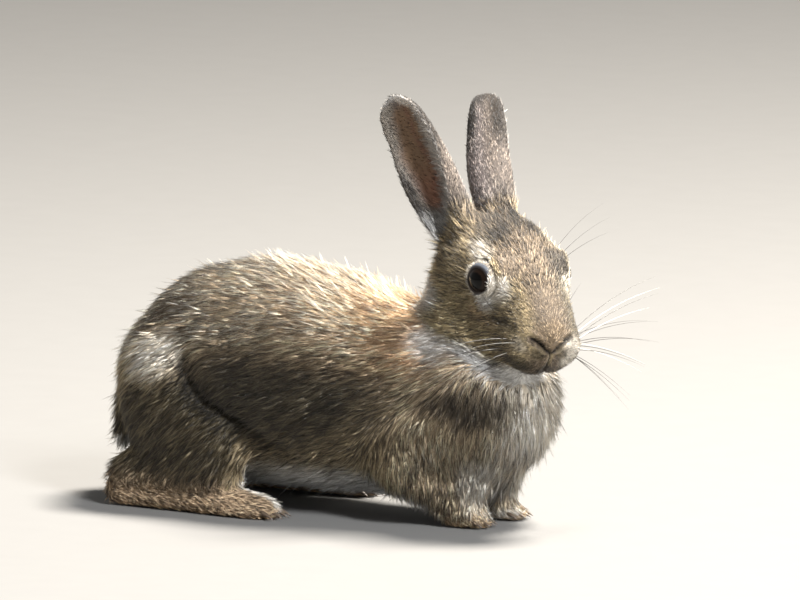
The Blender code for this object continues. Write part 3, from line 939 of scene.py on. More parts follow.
def paint_legs(P, N, parts, c, colour, black):
    """Tan and soft brown outside, cream inside, rusty soles, and a white tail that is dark above."""
    leg = ramp(-P[:, 2], -24, -8) * is_kind(parts, "forepaw", "hind_foot", "thigh")
    colour[:] = mixed(colour, blend(c["tan"], c["rust"], 0.5) * 0.5, 0.8 * leg)
    black *= 1 - 0.35 * leg
    inner = is_kind(parts, "foreleg", "thigh", "hind_foot", "forepaw") & (N[:, 1] * P[:, 1] < 0)
    colour[inner] = c["cream"] * 0.9
    black[inner] = 0.06
    sole = is_kind(parts, "forepaw", "hind_foot") & (N[:, 2] < -0.6)
    colour[sole] = c["rust"] * 0.5
    tail = is_kind(parts, "tail")
    colour[tail] = c["white"]
    black[tail] = 0.0
    tail_top = tail & (N[:, 0] < -0.2)
    colour[tail_top] = c["grey"] * 0.6
    black[tail_top] = 0.45


# The white behind the jaw, on head and neck alike: its middle in the head's axes and its reach.
COLLAR = ((-13, 26, -40), (17, 13, 8))


def head_markings(h, n, c):
    """Pale rings round the eyes, ticked cheeks, a streaked crown, and white throat and lips. Painted shade
    lies under the nostrils and lips, behind and above the whisker pads, on the near pad and on the far side
    of the face, and painted light on the far pad.
    """
    count = len(h)
    mirror = mirrored(h)
    face = blend(c["tan"], c["rust"], 0.3) * 0.185
    cheek = c["grey"] * 1.6
    colour = np.tile(face, (count, 1))
    black = np.full(count, 0.36)
    pale = np.full(count, 0.28)
    density = np.ones(count)

    def paint(tone, share, dark=None):
        nonlocal colour, black
        colour = mixed(colour, tone, share)
        if dark is not None:
            black = black * (1 - share) + dark * share

    near = 0.35 + 0.65 * ramp(-h[:, 1], -4, 4)
    beside = ramp(np.abs(n[:, 1]), 0.25, 0.65)
    paint(cheek, 0.9 * np.maximum(ramp(-h[:, 2], -2, 14) * (1 - ramp(h[:, 0], 14, 26)), 0.8 * beside), 0.28)
    paint(cheek * 0.8, 0.7 * spot(mirror, (-18, 24, -6), (13, 14, 17)), 0.36)
    paint(c["rust"] * 0.5, 0.5 * spot(mirror, (6, 20, -15), (14, 12, 8)))
    paint(face * 0.62, 0.75 * ramp(h[:, 0], 6, 20) * ramp(h[:, 2], -14, -4) * (1 - beside), 0.16)
    streak = ramp(grain(h * (0.35, 1.2, 1.0), 3.4, 21), 0.5, 0.72)
    crown = ramp(-h[:, 0], -4, 16) * ramp(h[:, 2], 6, 13)
    paint(face * 0.42, 0.9 * crown)
    colour = colour * (1 - 0.6 * streak * crown)[:, None]
    black += 0.8 * streak * crown
    # Mostly painted shade: a dark patch behind each whisker pad, at the front of its furrow.
    paint(cheek * 0.7, 0.6 * spot(mirror, (22, 15, -14), (9, 8, 6)), 0.34)
    paint(face * (0.75, 0.71, 0.62), spot(mirror, (36, 0, -10), (10, 11, 8)), 0.10)
    # Painted shade: the far (left) side of the face, from the eye forwards, is darkened.
    colour = colour * (1 - 0.8 * ramp(h[:, 1], 3, 13) * ramp(h[:, 0], -6, 6))[:, None]
    # Painted light: the far (left) whisker pad is drawn cream.
    paint(c["cream"], 0.92 * spot(h, (37, 11, -19), (12, 8, 10)), 0.10)
    paint(c["cream"] * 0.45, 0.6 * spot(mirror, (30, 11, -16), (7, 5, 5)), 0.16)
    # Mostly painted shade: the near (right) whisker pad is darkened, with more dark tufts.
    paint(c["grey"] * 0.18, 0.88 * spot(h, (29, -9, -25), (11, 9, 8)), 0.55)
    paint(c["black"] * 1.5, 0.9 * spot(mirror, (36, 0, -28), (8, 4.2, 7)), 0.5)
    paint(c["cream"] * 0.8, 0.9 * spot(mirror, (1, 21, -1), (13, 11, 12)), 0.02)
    paint(c["cream"] * 0.95, 0.9 * near * spot(mirror, (12, 17, 0), (9, 9, 8)), 0.02)
    paint(c["cream"] * 1.05, near * spot(mirror, (-8, 18, 8), (12, 10, 5.6)), 0.0)
    paint(c["white"] * 0.95, 0.8 * spot(mirror, (7, 20, -8), (8, 10, 5)), 0.0)
    paint(c["white"], 0.85 * spot(mirror, (-32, 26, -25), (15, 13, 10)), 0.05)
    paint(c["white"], 0.9 * spot(mirror, *COLLAR), 0.0)
    jaw = ramp(-h[:, 2], 32, 37)
    paint(c["white"], np.maximum(jaw, ramp(h[:, 0], 12, 24) * ramp(-h[:, 2], 31.5, 34.0)), 0.0)
    # Painted shadow under the lips.
    paint(c["black"] * 2, 0.85 * spot(mirror, (30, 1, -33.5), (9, 8, 2.5)), 0.3)

    # Under each nostril: partly darker skin, partly painted shade.
    paint(c["grey"] * 0.45, 0.8 * spot(mirror, (36, 5.5, -17.5), (7, 4.5, 4.2)), 0.3)

    lines = front_lines(h)
    dark = np.exp(-((lines["nostril"] / 0.95) ** 2))
    dark = np.maximum(dark, 0.95 * np.exp(-((lines["philtrum"] / 0.65) ** 2)))
    lips = 0.9 * np.exp(-((lines["mouth"] / 1.1) ** 2)) * (1 - ramp(lines["mouth_along"], 0.3, 0.7))
    dark = np.maximum(dark, lips)
    colour = mixed(colour, c["lid_skin"], dark)
    density *= 1 - ramp(dark, 0.15, 0.45)
    # The furrows above the whisker pads are darkened: partly their dark whisker roots, partly painted shade
    # in the crease.
    furrow = line_distance(h[:, ::2], WHISKER_FURROW)[0]
    furrow = np.exp(-((furrow / 1.7) ** 2)) * ramp(np.abs(h[:, 1]), 8, 12)
    paint(c["grey"] * 0.2, 0.8 * furrow, 0.6)
    angle, reach, rise = eye_angle(h)
    start = bare_to(h, rise)
    thick = 1 + 2.5 * (1 - ramp(angle, start + 8, start + 16))
    density = np.where(reach < 12, density * ramp(angle, start - 1, start + 2) * thick, density)
    density = density * (1 + 1.0 * ramp(h[:, 0], 6, 28))
    return colour, black, pale, density


# Up an ear, from its root to its tip: where the bare skin inside starts and ends, from front to rear.
EAR_BARE = [
    (0.12, 0.40, 0.46), (0.25, 0.30, 0.60), (0.4, 0.15, 0.64), (0.6, 0.02, 0.76),
    (0.85, -0.42, 0.50), (0.94, -0.1, 0.15),
]


def ear_zones(t, across, inside):
    """Shares of bare skin, of the front fringe and of the rear hair inside an ear."""
    start = np.interp(t, [row[0] for row in EAR_BARE], [row[1] for row in EAR_BARE])
    end = np.interp(t, [row[0] for row in EAR_BARE], [row[2] for row in EAR_BARE])
    bare = ramp(across, start - 0.12, start + 0.10) * (1 - ramp(across, end - 0.18, end + 0.10))
    bare *= inside * ramp(t, 0.10, 0.17) * (1 - ramp(t, 0.87, 0.95))
    front = inside * (1 - ramp(across, start - 0.06, start + 0.06))
    rear = inside * ramp(across, end - 0.12, end + 0.08)
    return bare, front, rear


def ear_markings(P, N, name, c):
    """Grey and ticked at the back, black at the rim, pale hair round bare skin inside."""
    t, across, inside, _ = ear_place(P, N, name)
    bare, front, rear = ear_zones(t, across, inside)
    inner = inside.astype(float)
    back = c["ear_back"]
    brown = blend(c["tan"], c["ear_back"], 0.85) * 0.5
    colour = mixed(brown, back, ramp(across, -0.55, -0.25))
    black = 0.46 - 0.24 * ramp(across, -0.5, -0.2)
    pale = np.full(len(P), 0.16)
    colour = colour * (1 - 0.5 * (1 - inner) * (1 - ramp(t, 0.08, 0.3)))[:, None]
    high = ramp(t, 0.45, 0.75)
    edge = np.maximum(ramp(-across, 0.55, 0.7) * ramp(t, 0.45, 0.65), ramp(across, -0.32, -0.1) * high)
    edge = (1 - inner) * np.maximum(edge, ramp(t, 0.84, 0.92))
    colour = mixed(colour, c["black"] * 1.5, 0.93 * edge)
    black = black + 0.4 * edge
    pale = pale * (1 - 0.85 * edge)
    colour = mixed(colour, c["cream"] * (0.26, 0.25, 0.25), rear)
    pale = pale + 0.25 * rear
    black = black + 0.10 * rear
    colour = mixed(colour, c["white"] * (0.86, 0.80, 0.76), front)
    black = black * (1 - front)
    colour = mixed(colour, c["ear_skin"], bare)
    deep = bare * (1 - ramp(t, 0.3, 0.55))
    colour = mixed(colour, c["ear_skin"] * (1.6, 1.25, 1.4), 0.8 * deep)
    vein_at = np.interp(t, [0.3, 0.45, 0.67, 0.88], [0.36, 0.16, 0.20, -0.14])
    vein = np.exp(-(((across - vein_at) / 0.045) ** 2)) * bare * ramp(t, 0.25, 0.35)
    colour = mixed(colour, c["ear_skin"] * (0.72, 0.34, 0.45), 0.6 * vein)
    black = black * (1 - bare)
    density = 1 - 0.70 * bare
    rim = ramp(np.abs(across), 0.9, 0.97)
    dark_from = 0.86 - 0.22 * ramp(t, 0.1, 0.2) * (1 - ramp(t, 0.35, 0.6))
    rear_rim = np.maximum(rim * ramp(across, 0, 0.4), ramp(across, dark_from, dark_from + 0.12))
    rear_rim *= ramp(t, 0.04, 0.15) * (1 - ramp(t, 0.84, 0.94))
    colour = mixed(colour, c["black"] * 2.0, 0.9 * rear_rim)
    pale = pale * (1 - 0.6 * rear_rim)
    white_rim = np.maximum(rim * ramp(-across, 0, 0.4), 0.7 * ramp(t, 0.95, 0.98)) * inner
    colour = mixed(colour, c["white"], white_rim)
    black = black * (1 - white_rim)
    base = inner * (1 - ramp(t, 0.10, 0.25))
    colour = mixed(colour, c["white"] * 0.7, 0.7 * base)
    return colour, np.clip(black, 0, 1), pale, density


# ---------------------------------------------------------------- coat
class Hide:
    """The skin's triangles with what the coat needs at each corner."""

    def __init__(self, skin):
        mesh = skin.data
        mesh.calc_loop_triangles()
        count = len(mesh.loop_triangles)
        flat = np.empty(count * 3, np.int32)
        mesh.loop_triangles.foreach_get("vertices", flat)
        self.corners = flat.reshape(-1, 3).copy()
        mesh.loop_triangles.foreach_get("loops", flat)
        self.loops = flat.reshape(-1, 3).copy()
        self.polygons = np.empty(count, np.int32)
        mesh.loop_triangles.foreach_get("polygon_index", self.polygons)
        self.points = points_of(mesh)
        self.normals = normals_of(mesh)
        self.lie = stored(mesh, "lie")
        self.tuft = stored(mesh, "tuft")
        self.ticking = stored(mesh, "ticking")
        main = stored(mesh, "main_colour")
        self.colour, self.parts = main[:, :3], np.rint(main[:, 3]).astype(int) - 1
        a, b, c = (self.points[self.corners[:, i]] for i in range(3))
        self.areas = np.linalg.norm(np.cross(b - a, c - a), axis=1) / 2


def unwrap_region(skin, hide, chosen):
    """Unwraps some of the skin's triangles by its own shape, and gives each one's three UVs."""
    mesh = skin.data
    layer = mesh.uv_layers.new(name="region")
    mesh.uv_layers.active = layer
    picked = np.zeros(len(mesh.polygons), bool)
    picked[hide.polygons[chosen]] = True
    bpy.context.view_layer.objects.active = skin
    bpy.ops.object.mode_set(mode="EDIT")
    bpy.ops.mesh.select_mode(type="FACE")
    bpy.ops.mesh.select_all(action="DESELECT")
    bpy.ops.object.mode_set(mode="OBJECT")
    mesh.polygons.foreach_set("select", picked)
    bpy.ops.object.mode_set(mode="EDIT")
    bpy.ops.uv.smart_project(angle_limit=math.radians(66), island_margin=0.0)
    bpy.ops.object.mode_set(mode="OBJECT")
    flat = np.empty(len(mesh.loops) * 2, np.float32)
    mesh.uv_layers["region"].data.foreach_get("uv", flat)
    uvs = flat.reshape(-1, 2)[hide.loops].astype(float)
    mesh.uv_layers.remove(mesh.uv_layers["region"])
    return uvs


def scattered(hide, chosen, count, rng):
    """Places spread over the chosen triangles by area and density."""
    weight = hide.areas * hide.ticking[:, 2][hide.corners].mean(axis=1) * chosen
    total = np.cumsum(weight)
    steps = (np.arange(count) + rng.random(count)) / count * total[-1]
    triangle = np.searchsorted(total, steps).clip(0, len(total) - 1)
    a, b = rng.random(count), rng.random(count)
    over = a + b > 1
    a[over], b[over] = 1 - a[over], 1 - b[over]
    return triangle, np.stack([1 - a - b, a, b], axis=1)


def at_places(values, hide, triangle, shares):
    """Values of the skin's points, carried to places on its triangles."""
    return (values[hide.corners[triangle]] * shares[:, :, None]).sum(axis=1)


# A tuft's patch on the map, the seed of the noise that forms clumps, how near the ground a hair may
# come in millimetres, and the share of tufts that stand up from the rest.
PATCH = 0.003
CLUMP_SEED = 31
LOWEST_HAIR = 0.6
STRAY_SHARE = 0.03


def tuft_colours(rng, main, black, pale, crest, hairs):
    """A colour for each corner of each hair: dark, pale or banded tufts, paler at their tips. Roots and the
    gaps between clumps are darker and clump crests lighter: partly the hair's own bands, partly painted
    shade and light.
    """
    count = len(main)
    draw = rng.random(count)
    # More dark tufts in the gaps between clumps and brighter tips on their crests: partly the dark
    # under-fur that shows where the coat parts, partly painted shade and light.
    clump_dark_and_shade = 1.6 - 1.2 * crest
    dark = draw < black * clump_dark_and_shade
    light = ~dark & (draw < black * clump_dark_and_shade + pale)
    tip_colour = main * (rng.uniform(0.6, 1.1, count) * (0.60 + 0.74 * crest))[:, None]
    tip_colour[dark] = main[dark] * 0.09 + np.array((0.010, 0.008, 0.006))
    tip_colour[light] = main[light] * 2.0 + np.array((0.09, 0.083, 0.064))
    main, black, pale, tips = (np.repeat(v, hairs, axis=0) for v in (main, black, pale, tip_colour))
    odd = rng.random(len(tips))
    tips = np.where((odd < 0.4 * black)[:, None], main * 0.12, tips)
    tips = np.where((odd > 1 - 0.4 * pale)[:, None], main * 2.0 + 0.04, tips)
    # Roots darker than the tips: partly the hair's own dark base, partly painted shade deep in the coat.
    colour = np.repeat((tips * 0.5 + main * 0.12)[:, None, :], 4, axis=1)
    colour[:, 3] = tips
    shade = rng.uniform(0.75, 1.25, (len(tips), 1, 1))
    return np.clip(colour * shade, 0, 0.95)


def spike_mesh(name, points, colour, place):
    """Closed spikes of four corners each, with their colours and their patches on the map."""
    total = len(points)
    mesh = bpy.data.meshes.new(name)
    mesh.vertices.add(total * 4)
    mesh.vertices.foreach_set("co", (points * MM).astype(np.float32).ravel())
    corners = np.array([(0, 1, 2), (1, 0, 3), (2, 1, 3), (0, 2, 3)])
    index = (np.arange(total) * 4)[:, None, None] + corners
    mesh.loops.add(total * 12)
    mesh.loops.foreach_set("vertex_index", index.astype(np.int32).ravel())
    mesh.polygons.add(total * 4)
    mesh.polygons.foreach_set("loop_start", np.arange(total * 4, dtype=np.int32) * 3)
    mesh.update(calc_edges=True)
    patch = np.array([
        (-1, -1), (1, -1), (0, -0.6),
        (1, -1), (-1, -1), (0, 1),
        (0, -1), (1, -1), (1, 1),
        (-1, -1), (0, -1), (-1, 1),
    ]) * PATCH / 2
    layer = mesh.uv_layers.new(name="OFBake")
    spots = np.clip(place, PATCH, 1 - PATCH)[:, None, :] + patch
    layer.data.foreach_set("uv", spots.astype(np.float32).ravel())
    store(mesh, "coat_colour", np.concatenate([colour.reshape(-1, 3), np.ones((total * 4, 1))], axis=1))
    return mesh


def coat_piece(hide, uvs, chosen, name, tufts, hairs, spread, clump, seed):
    """One layer of tufts as a mesh: each hair is a slim closed spike, a tuft's hairs lean together
    at their tips, and tufts lean together into clumps."""
    rng = np.random.default_rng(seed)
    triangle, shares = scattered(hide, chosen, tufts, rng)
    centre = at_places(hide.points, hide, triangle, shares)
    normal = normalised(at_places(hide.normals, hide, triangle, shares))
    lie = at_places(hide.lie, hide, triangle, shares)
    length, lift, width = at_places(hide.tuft, hide, triangle, shares).T
    black, pale, _ = at_places(hide.ticking, hide, triangle, shares).T
    main = at_places(hide.colour, hide, triangle, shares)
    place = (uvs[triangle] * shares[:, :, None]).sum(axis=1)

    sway = rng.normal(0, 0.20, (tufts, 1))
    lie = normalised(lie - normal * (lie * normal).sum(axis=1, keepdims=True))
    across = np.cross(normal, lie)
    lie = normalised(lie + across * sway)
    across = np.cross(normal, lie)
    length = length * rng.uniform(0.72, 1.18, tufts)
    stray = (rng.random(tufts) < STRAY_SHARE) * rng.uniform(14, 34, tufts)
    angle = np.radians(lift * rng.uniform(0.55, 1.35, tufts) + stray)
    rise = np.sin(angle) * length
    run = np.cos(angle) * length
    shared_tip = centre + lie * run[:, None] + normal * rise[:, None]
    step = 0.3 * clump
    for way, share in ((across, 0.9), (lie, 0.45)):
        ahead, behind = (grain(centre + way * far, clump, CLUMP_SEED) for far in (step, -step))
        slope = ahead - behind
        shared_tip += way * (slope * clump * share)[:, None]
    crest = grain(centre, clump, CLUMP_SEED)

    def each(values):
        return np.repeat(values, hairs, axis=0)

    total = tufts * hairs
    radius = each(spread * (0.6 + 0.4 * length / length.mean()))
    turn = rng.uniform(0, 2 * np.pi, total)
    reach = radius * np.sqrt(rng.random(total))
    n, t, s = each(normal), each(lie), each(across)
    root = each(centre) + t * (np.cos(turn) * reach)[:, None] + s * (np.sin(turn) * reach)[:, None]
    own = rng.uniform(0.75, 1.1, total)
    fan = rng.normal(0, 0.10, (total, 1))
    tip = root + (t + s * fan) * (each(run) * own)[:, None] + n * (each(rise) * own)[:, None]
    tip = tip * 0.5 + each(shared_tip) * 0.5
    root = root - n * 0.25
    half = (each(width) * rng.uniform(0.7, 1.25, total) / 2)[:, None]
    points = np.stack([root + s * half, root - s * half, root + n * half * 1.1, tip], axis=1)
    over = points[..., 2] - LOWEST_HAIR
    points[..., 2] = np.where(over < 0, LOWEST_HAIR + 0.1 * np.tanh(over), points[..., 2])
    colour = tuft_colours(rng, main, black, pale, crest, hairs)
    return spike_mesh(name, points, colour, each(place))


# For each region: its kinds of part, hairs in a layer, a tuft's spread and the clumps' size in
# millimetres, and the slot.
COAT_REGIONS = {
    "body": (
        ("trunk", "neck", "tail", "thigh", "hind_foot", "foreleg", "forepaw"),
        46000, 0.60, 3.0, "agouti_coat",
    ),
    "head": (("head",), 48000, 0.36, 1.9, "agouti_coat"),
    "ears": (("ear",), 48400, 0.30, 1.3, "ear_coat"),
}


# ---------------------------------------------------------------- eyes, claws, whiskers
def eye_material(name, colours):
    """A dark iris in rings round the pupil, under a clear wet front."""
    made, shader, add, link = new_material(f"eye_{name}")
    place = add("ShaderNodeTexCoord")
    centred = add("ShaderNodeMapping", [("Vector", place.outputs["Object"])], vector_type="TEXTURE")
    matrix = eye_matrix(name)
    centred.inputs["Location"].default_value = matrix.translation
    centred.inputs["Rotation"].default_value = matrix.to_euler("XYZ")
    split = add("ShaderNodeSeparateXYZ", [("Vector", centred.outputs["Vector"])])
    flat = add("ShaderNodeCombineXYZ", [("X", split.outputs["X"]), ("Y", split.outputs["Y"])])
    away = add("ShaderNodeVectorMath", [(0, flat.outputs["Vector"])], operation="LENGTH")
    streaks = noise_from(add, centred.outputs["Vector"], 900.0, 2.0)
    ragged = add("ShaderNodeMath", [(0, streaks.outputs["Fac"]), (1, 0.0006)], operation="MULTIPLY")
    sides = [(0, away.outputs["Value"]), (1, ragged.outputs["Value"])]
    radius = add("ShaderNodeMath", sides, operation="ADD")
    rings = add(
        "ShaderNodeMapRange",
        [("Value", radius.outputs["Value"]), ("From Min", 0.0), ("From Max", EYE_RADIUS * MM)],
    )
    bands = add("ShaderNodeValToRGB", [("Fac", rings.outputs["Result"])])
    stops = bands.color_ramp.elements
    iris = np.array(colours.eye)
    stops[0].position, stops[0].color = 0.0, (0.002, 0.002, 0.002, 1)
    stops[1].position, stops[1].color = 1.0, (*(iris * 0.25), 1)
    for position, share in ((0.50, 0.06), (0.56, 1.0), (0.74, 0.9), (0.84, 0.25)):
        stop = stops.new(position)
        stop.color = (*(iris * share), 1)
    link(bands.outputs["Color"], "Base Color")
    shader.inputs["Roughness"].default_value = 0.04
    shader.inputs["IOR"].default_value = 1.26
    return made


# How far the eye's clear front stands out, as a share of the radius, and its half angle in degrees.
CLEAR_FRONT = (0.055, 56)


def eyeball(name):
    """A ball with its clear front drawn out a little."""
    bm = bmesh.new()
    bmesh.ops.create_uvsphere(bm, u_segments=64, v_segments=40, radius=EYE_RADIUS * MM)
    for vert in bm.verts:
        away = math.acos(max(-1, min(1, vert.co.z / vert.co.length)))
        bulge = max(0.0, 1 - (away / math.radians(CLEAR_FRONT[1])) ** 2) ** 2
        vert.co *= 1 + CLEAR_FRONT[0] * bulge
    bmesh.ops.transform(bm, matrix=eye_matrix(name), verts=bm.verts[:])
    return mesh_from(bm, f"eyeball_{name}")


def claw(bm, at, way, length, radius):
    """A curved claw: a circle drawn out in steps, thinning and bending down to its tip."""
    steps = 4
    aim = Vector(unit(way)).to_track_quat("Z", "Y").to_matrix().to_4x4()
    ring = bmesh.ops.create_circle(bm, cap_ends=True, segments=10, radius=radius * MM)["verts"]
    bmesh.ops.transform(bm, matrix=Matrix.Translation(Vector(at) * MM) @ aim, verts=ring)
    edges = each_once(edge for vert in ring for edge in vert.link_edges)
    for step in range(1, steps + 1):
        share = step / steps
        grown = bmesh.ops.extrude_edge_only(bm, edges=edges)["geom"]
        ring = [found for found in grown if isinstance(found, bmesh.types.BMVert)]
        edges = [found for found in grown if isinstance(found, bmesh.types.BMEdge)]
        place = Vector(at) + Vector(unit(way)) * length * share - Vector((0, 0, 0.3 * length * share**2))
        thin = max(0.1, (1 - share**2) / (1 - (share - 1 / steps) ** 2))
        centre = sum((vert.co for vert in ring), Vector()) / len(ring)
        for vert in ring:
            vert.co = place * MM + (vert.co - centre) * thin
    bmesh.ops.contextual_create(bm, geom=edges)


def whisker(curve, start, way, length, sag, bend, radius):
    """One whisker as a tapering spline: out along its way, then sagging."""
    count = 14
    way = Vector(unit(way))
    aside = way.cross(Vector((0, 0, 1))).normalized()
    line = curve.splines.new("POLY")
    line.points.add(count - 1)
    for i in range(count):
        t = i / (count - 1)
        place = Vector(start) + way * (length * t)
        place += aside * (bend * length * t * t) - Vector((0, 0, sag * length * t * t))
        line.points[i].co = (*(place * MM), 1)
        line.points[i].radius = max(0.12, (1 - t) ** 0.8) * radius


# How far the whiskers may reach along and across the body, in millimetres.
WHISKER_LIMIT = np.array((137.0, 59.0))

# How the whiskers of each side run: back, out, the top and lowest rows' rise, and how they sag.
WHISKER_WAYS = {
    "left": (-0.30, 0.9, 0.35, -0.6, 0.16),
    "right": (-0.75, 0.35, -0.30, -0.75, 0.16),
}


def hide_tree(skin):
    """The skin's faces, ready to be met by rays."""
    mesh = skin.data
    return BVHTree.FromPolygons(
        [vert.co for vert in mesh.vertices], [tuple(face.vertices) for face in mesh.polygons]
    )


def on_head(tree, x, z, side):
    """The point of the head's side at this length and level, in millimetres."""
    start = from_head((x, side * 60, z))
    found = tree.ray_cast(Vector(start) * MM, Vector(LEFTWARD * -side))
    if found[0] is None:
        raise RuntimeError(f"no skin at {x}, {z}")
    return np.array(found[0]) / MM


# ---------------------------------------------------------------- operators
class RABBIT_OT_skin(bpy.types.Operator):
    """Makes the one skin with its lids, nostrils and mouth"""

    bl_idname = "rabbit.skin"
    bl_label = "Skin"

    def execute(self, context):
        mesh = build_skin(context.scene.rabbit_coat, context.scene.rabbit_colours)
        material = coat_material("skin", 0.0009, 0.0003)
        put_in_scene("skin", mesh, material, FLESH)
        return {"FINISHED"}


class RABBIT_OT_coat(bpy.types.Operator):
    """Lays the coat over the skin in layers of tufts"""

    bl_idname = "rabbit.coat"
    bl_label = "Coat"

    def execute(self, context):
        settings = context.scene.rabbit_coat
        skin = bpy.data.objects["skin"]
        hide = Hide(skin)
        hairs = settings.hairs_in_tuft
        material = coat_material("coat", 0.0022, 0)
        sets = {"body": settings.body_sets, "head": settings.head_sets, "ears": settings.ear_sets}
        for order, (region, (kinds, spikes, spread, clump, slot)) in enumerate(COAT_REGIONS.items()):
            chosen = is_kind(hide.parts[hide.corners[:, 0]], *kinds)
            uvs = unwrap_region(skin, hide, chosen)
            for layer in range(sets[region]):
                name = f"coat_{region}_{layer + 1}"
                seed = 100 * order + layer + 1
                mesh = coat_piece(hide, uvs, chosen, name, spikes // hairs, hairs, spread, clump, seed)
                put_in_scene(name, mesh, material)
        return {"FINISHED"}


class RABBIT_OT_eyes(bpy.types.Operator):
    """Makes both eyes"""

    bl_idname = "rabbit.eyes"
    bl_label = "Eyes"

    def execute(self, context):
        for name in SIDES:
            material = eye_material(name, context.scene.rabbit_colours)
            put_in_scene(f"eyeball_{name}", eyeball(name), material, [f"eye_{name}"])
        return {"FINISHED"}


class RABBIT_OT_claws(bpy.types.Operator):
    """Makes the claws of all four feet"""

    bl_idname = "rabbit.claws"
    bl_label = "Claws"

    def execute(self, context):
        bm = bmesh.new()
        for node, step, length, radius in (("hind_foot", 4.4, 7.0, 1.1), ("forepaw", 4.0, 5.5, 0.9)):
            for name in SIDES:
                low, high = (np.array(corner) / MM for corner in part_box(f"{node}_{name}"))
                centre = (low + high)[1] / 2
                if node == "hind_foot":
                    centre += 2.0 * SIDES[name]
                for toe in range(4):
                    y = centre + (toe - 1.5) * step
                    x = high[0] - 2.6 - abs(toe - 1.5) * 1.6
                    claw(bm, (x, y, 3.4), (1, (toe - 1.5) * 0.06, -0.1), length, radius)
        bmesh.ops.recalc_face_normals(bm, faces=bm.faces[:])
        mesh = mesh_from(bm, "claws")
        material = plain_material("claw_horn", context.scene.rabbit_colours.horn, 0.35)
        put_in_scene("claws", mesh, material)
        return {"FINISHED"}


class RABBIT_OT_whiskers(bpy.types.Operator):
    """Sets the whiskers on the lips and over the eyes"""

    bl_idname = "rabbit.whiskers"
    bl_label = "Whiskers"

    def execute(self, context):
        tree = hide_tree(bpy.data.objects["skin"])
        rng = np.random.default_rng(7)
        tones = {"dark": (0.02, 0.016, 0.013), "pale": (0.75, 0.72, 0.66)}
        curves = {}
        for tone in tones:
            curve = bpy.data.curves.new(f"whiskers_{tone}", "CURVE")
            curve.dimensions = "3D"
            curve.bevel_depth = 1.0
            curve.bevel_resolution = 0
            curve.use_fill_caps = True
            curves[tone] = curve
        for name, side in SIDES.items():
            back, out, first_up, last_up, sag = WHISKER_WAYS[name]
            for row in range(4):
                for column in range(4):
                    ahead, level = 30 - column * 2.8 - row * 0.4, -15.5 - row * 3.2 - column * 0.5
                    start = on_head(tree, ahead, level, side)
                    up = first_up + (last_up - first_up) * row / 3 + rng.normal(0, 0.07)
                    way = np.array((back - 0.05 * column + rng.normal(0, 0.07), side * out, up)) @ HEAD_AXES
                    room = (WHISKER_LIMIT - np.abs(start[:2])) / np.abs(unit(way)[:2])
                    length = (50 + 8 * column) * rng.uniform(0.9, 1.05)
                    length = min(length, room.min() * rng.uniform(0.88, 1.0))
                    tone = "dark" if (row + 2 * column) % 4 else "pale"
                    whisker(curves[tone], start, way, length, sag, 0.06 * side, 0.15 * MM)
            for i in range(3):
                start = on_head(tree, 4 - 4 * i, 10.5, side)
                way = np.array((-0.1 - 0.2 * i, side * 0.8, 0.6)) @ HEAD_AXES
                whisker(curves["dark"], start, way, 24 + 5 * i, 0.15, 0.1 * side, 0.10 * MM)
            start = on_head(tree, 12, -12, side)
            way = np.array((-0.5, side * 0.6, 0.75)) @ HEAD_AXES
            whisker(curves["dark"], start, way, 15, 0.05, 0.1 * side, 0.16 * MM)
        for tone, curve in curves.items():
            worked = bpy.data.objects.new(curve.name, curve)
            mesh = bpy.data.meshes.new_from_object(worked)
            bpy.data.objects.remove(worked)
            material = plain_material(f"whisker_{tone}", tones[tone], 0.4)
            put_in_scene(f"whiskers_{tone}", mesh, material)
        return {"FINISHED"}


# The middle of the view, to the right and up, in metres.
VIEW_CENTRE = (0.0202, 0.0927)

# Each light: how far to the right, towards the camera and up it hangs, its width and height in
# metres, its share of the key's power, and its colour.
LIGHTS = (
    ("key", 0.75, -0.32, 2.1, 0.6, 0.6, 1.0, (1.0, 0.94, 0.86)),
    ("fill", 0.75, 1.5, 1.0, 0.3, 0.65, 0.26, (0.97, 0.98, 1.0)),
)


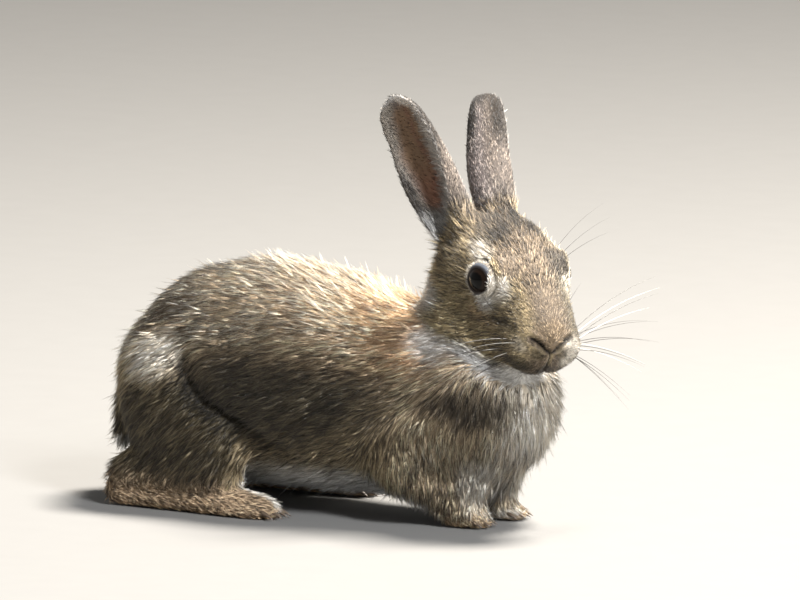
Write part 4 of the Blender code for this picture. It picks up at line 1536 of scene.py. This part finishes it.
class RABBIT_OT_stage(bpy.types.Operator):
    """Sets the camera, the floor and the lights"""

    bl_idname = "rabbit.stage"
    bl_label = "Stage"

    def execute(self, context):
        stage = context.scene.rabbit_stage
        a, e = stage.azimuth, stage.elevation
        right = Vector((math.cos(a), math.sin(a), 0))
        back = Vector((math.sin(a) * math.cos(e), -math.cos(a) * math.cos(e), math.sin(e)))
        up = back.cross(right)
        target = right * VIEW_CENTRE[0] + up * VIEW_CENTRE[1]
        camera = bpy.data.cameras.new("camera")
        camera.sensor_width = 36.0
        camera.lens = camera.sensor_width * stage.distance / stage.view_width
        camera.clip_end = 100.0
        eye = bpy.data.objects.new("camera", camera)
        eye.location = target + back * stage.distance
        eye.rotation_euler = back.to_track_quat("Z", "Y").to_euler()
        context.scene.collection.objects.link(eye)
        context.scene.camera = eye

        bm = bmesh.new()
        bmesh.ops.create_grid(bm, x_segments=1, y_segments=1, size=15.0)
        mesh = mesh_from(bm, "floor")
        floor = bpy.data.objects.new("floor", mesh)
        context.scene.collection.objects.link(floor)
        mesh.materials.append(plain_material("floor", stage.floor, 0.9, (0.97, 1.03), 60.0, 4.0))

        world = bpy.data.worlds.new("studio")
        world.use_nodes = True
        sky = world.node_tree.nodes["Background"].inputs
        sky["Color"].default_value = (1.0, 0.98, 0.94, 1)
        sky["Strength"].default_value = stage.sky
        context.scene.world = world
        context.scene.view_settings.view_transform = "Standard"
        for name, beside, nearer, high, width, height, share, colour in LIGHTS:
            place = right * beside + back * nearer + Vector((0, 0, high))
            light = bpy.data.lights.new(name, "AREA")
            light.shape = "RECTANGLE"
            light.size = width
            light.size_y = height
            light.energy = stage.key_power * share
            light.color = colour
            lamp = bpy.data.objects.new(name, light)
            lamp.location = place
            lamp.rotation_euler = (place - Vector((0, 0, 0.08))).to_track_quat("Z", "Y").to_euler()
            context.scene.collection.objects.link(lamp)
        return {"FINISHED"}


class RABBIT_PT_panel(bpy.types.Panel):
    """Lists the rabbit's pieces and settings"""

    bl_idname = "RABBIT_PT_panel"
    bl_label = "Rabbit"
    bl_space_type = "VIEW_3D"
    bl_region_type = "UI"
    bl_category = "Rabbit"

    def draw(self, context):
        column = self.layout.column()
        for operator in OPERATORS:
            column.operator(operator.bl_idname)
        for group in (context.scene.rabbit_coat, context.scene.rabbit_colours, context.scene.rabbit_stage):
            for name in group.__annotations__:
                column.prop(group, name)


GROUPS = {"rabbit_coat": RabbitCoat, "rabbit_colours": RabbitColours, "rabbit_stage": RabbitStage}
OPERATORS = [
    RABBIT_OT_skin, RABBIT_OT_coat, RABBIT_OT_eyes, RABBIT_OT_claws, RABBIT_OT_whiskers,
    RABBIT_OT_stage,
]


def register():
    """Registers the settings, the operators and the panel."""
    for made in [*GROUPS.values(), *OPERATORS, RABBIT_PT_panel]:
        bpy.utils.register_class(made)
    for name, group in GROUPS.items():
        setattr(bpy.types.Scene, name, PointerProperty(type=group))


def unregister():
    """Takes away what register() added."""
    for name in GROUPS:
        delattr(bpy.types.Scene, name)
    for made in reversed([*GROUPS.values(), *OPERATORS, RABBIT_PT_panel]):
        bpy.utils.unregister_class(made)


def main():
    """Builds every piece and the stage in order."""
    register()
    bpy.ops.rabbit.skin()
    bpy.ops.rabbit.coat()
    bpy.ops.rabbit.eyes()
    bpy.ops.rabbit.claws()
    bpy.ops.rabbit.whiskers()
    bpy.ops.rabbit.stage()
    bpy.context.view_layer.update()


if __name__ == "__main__":
    main()
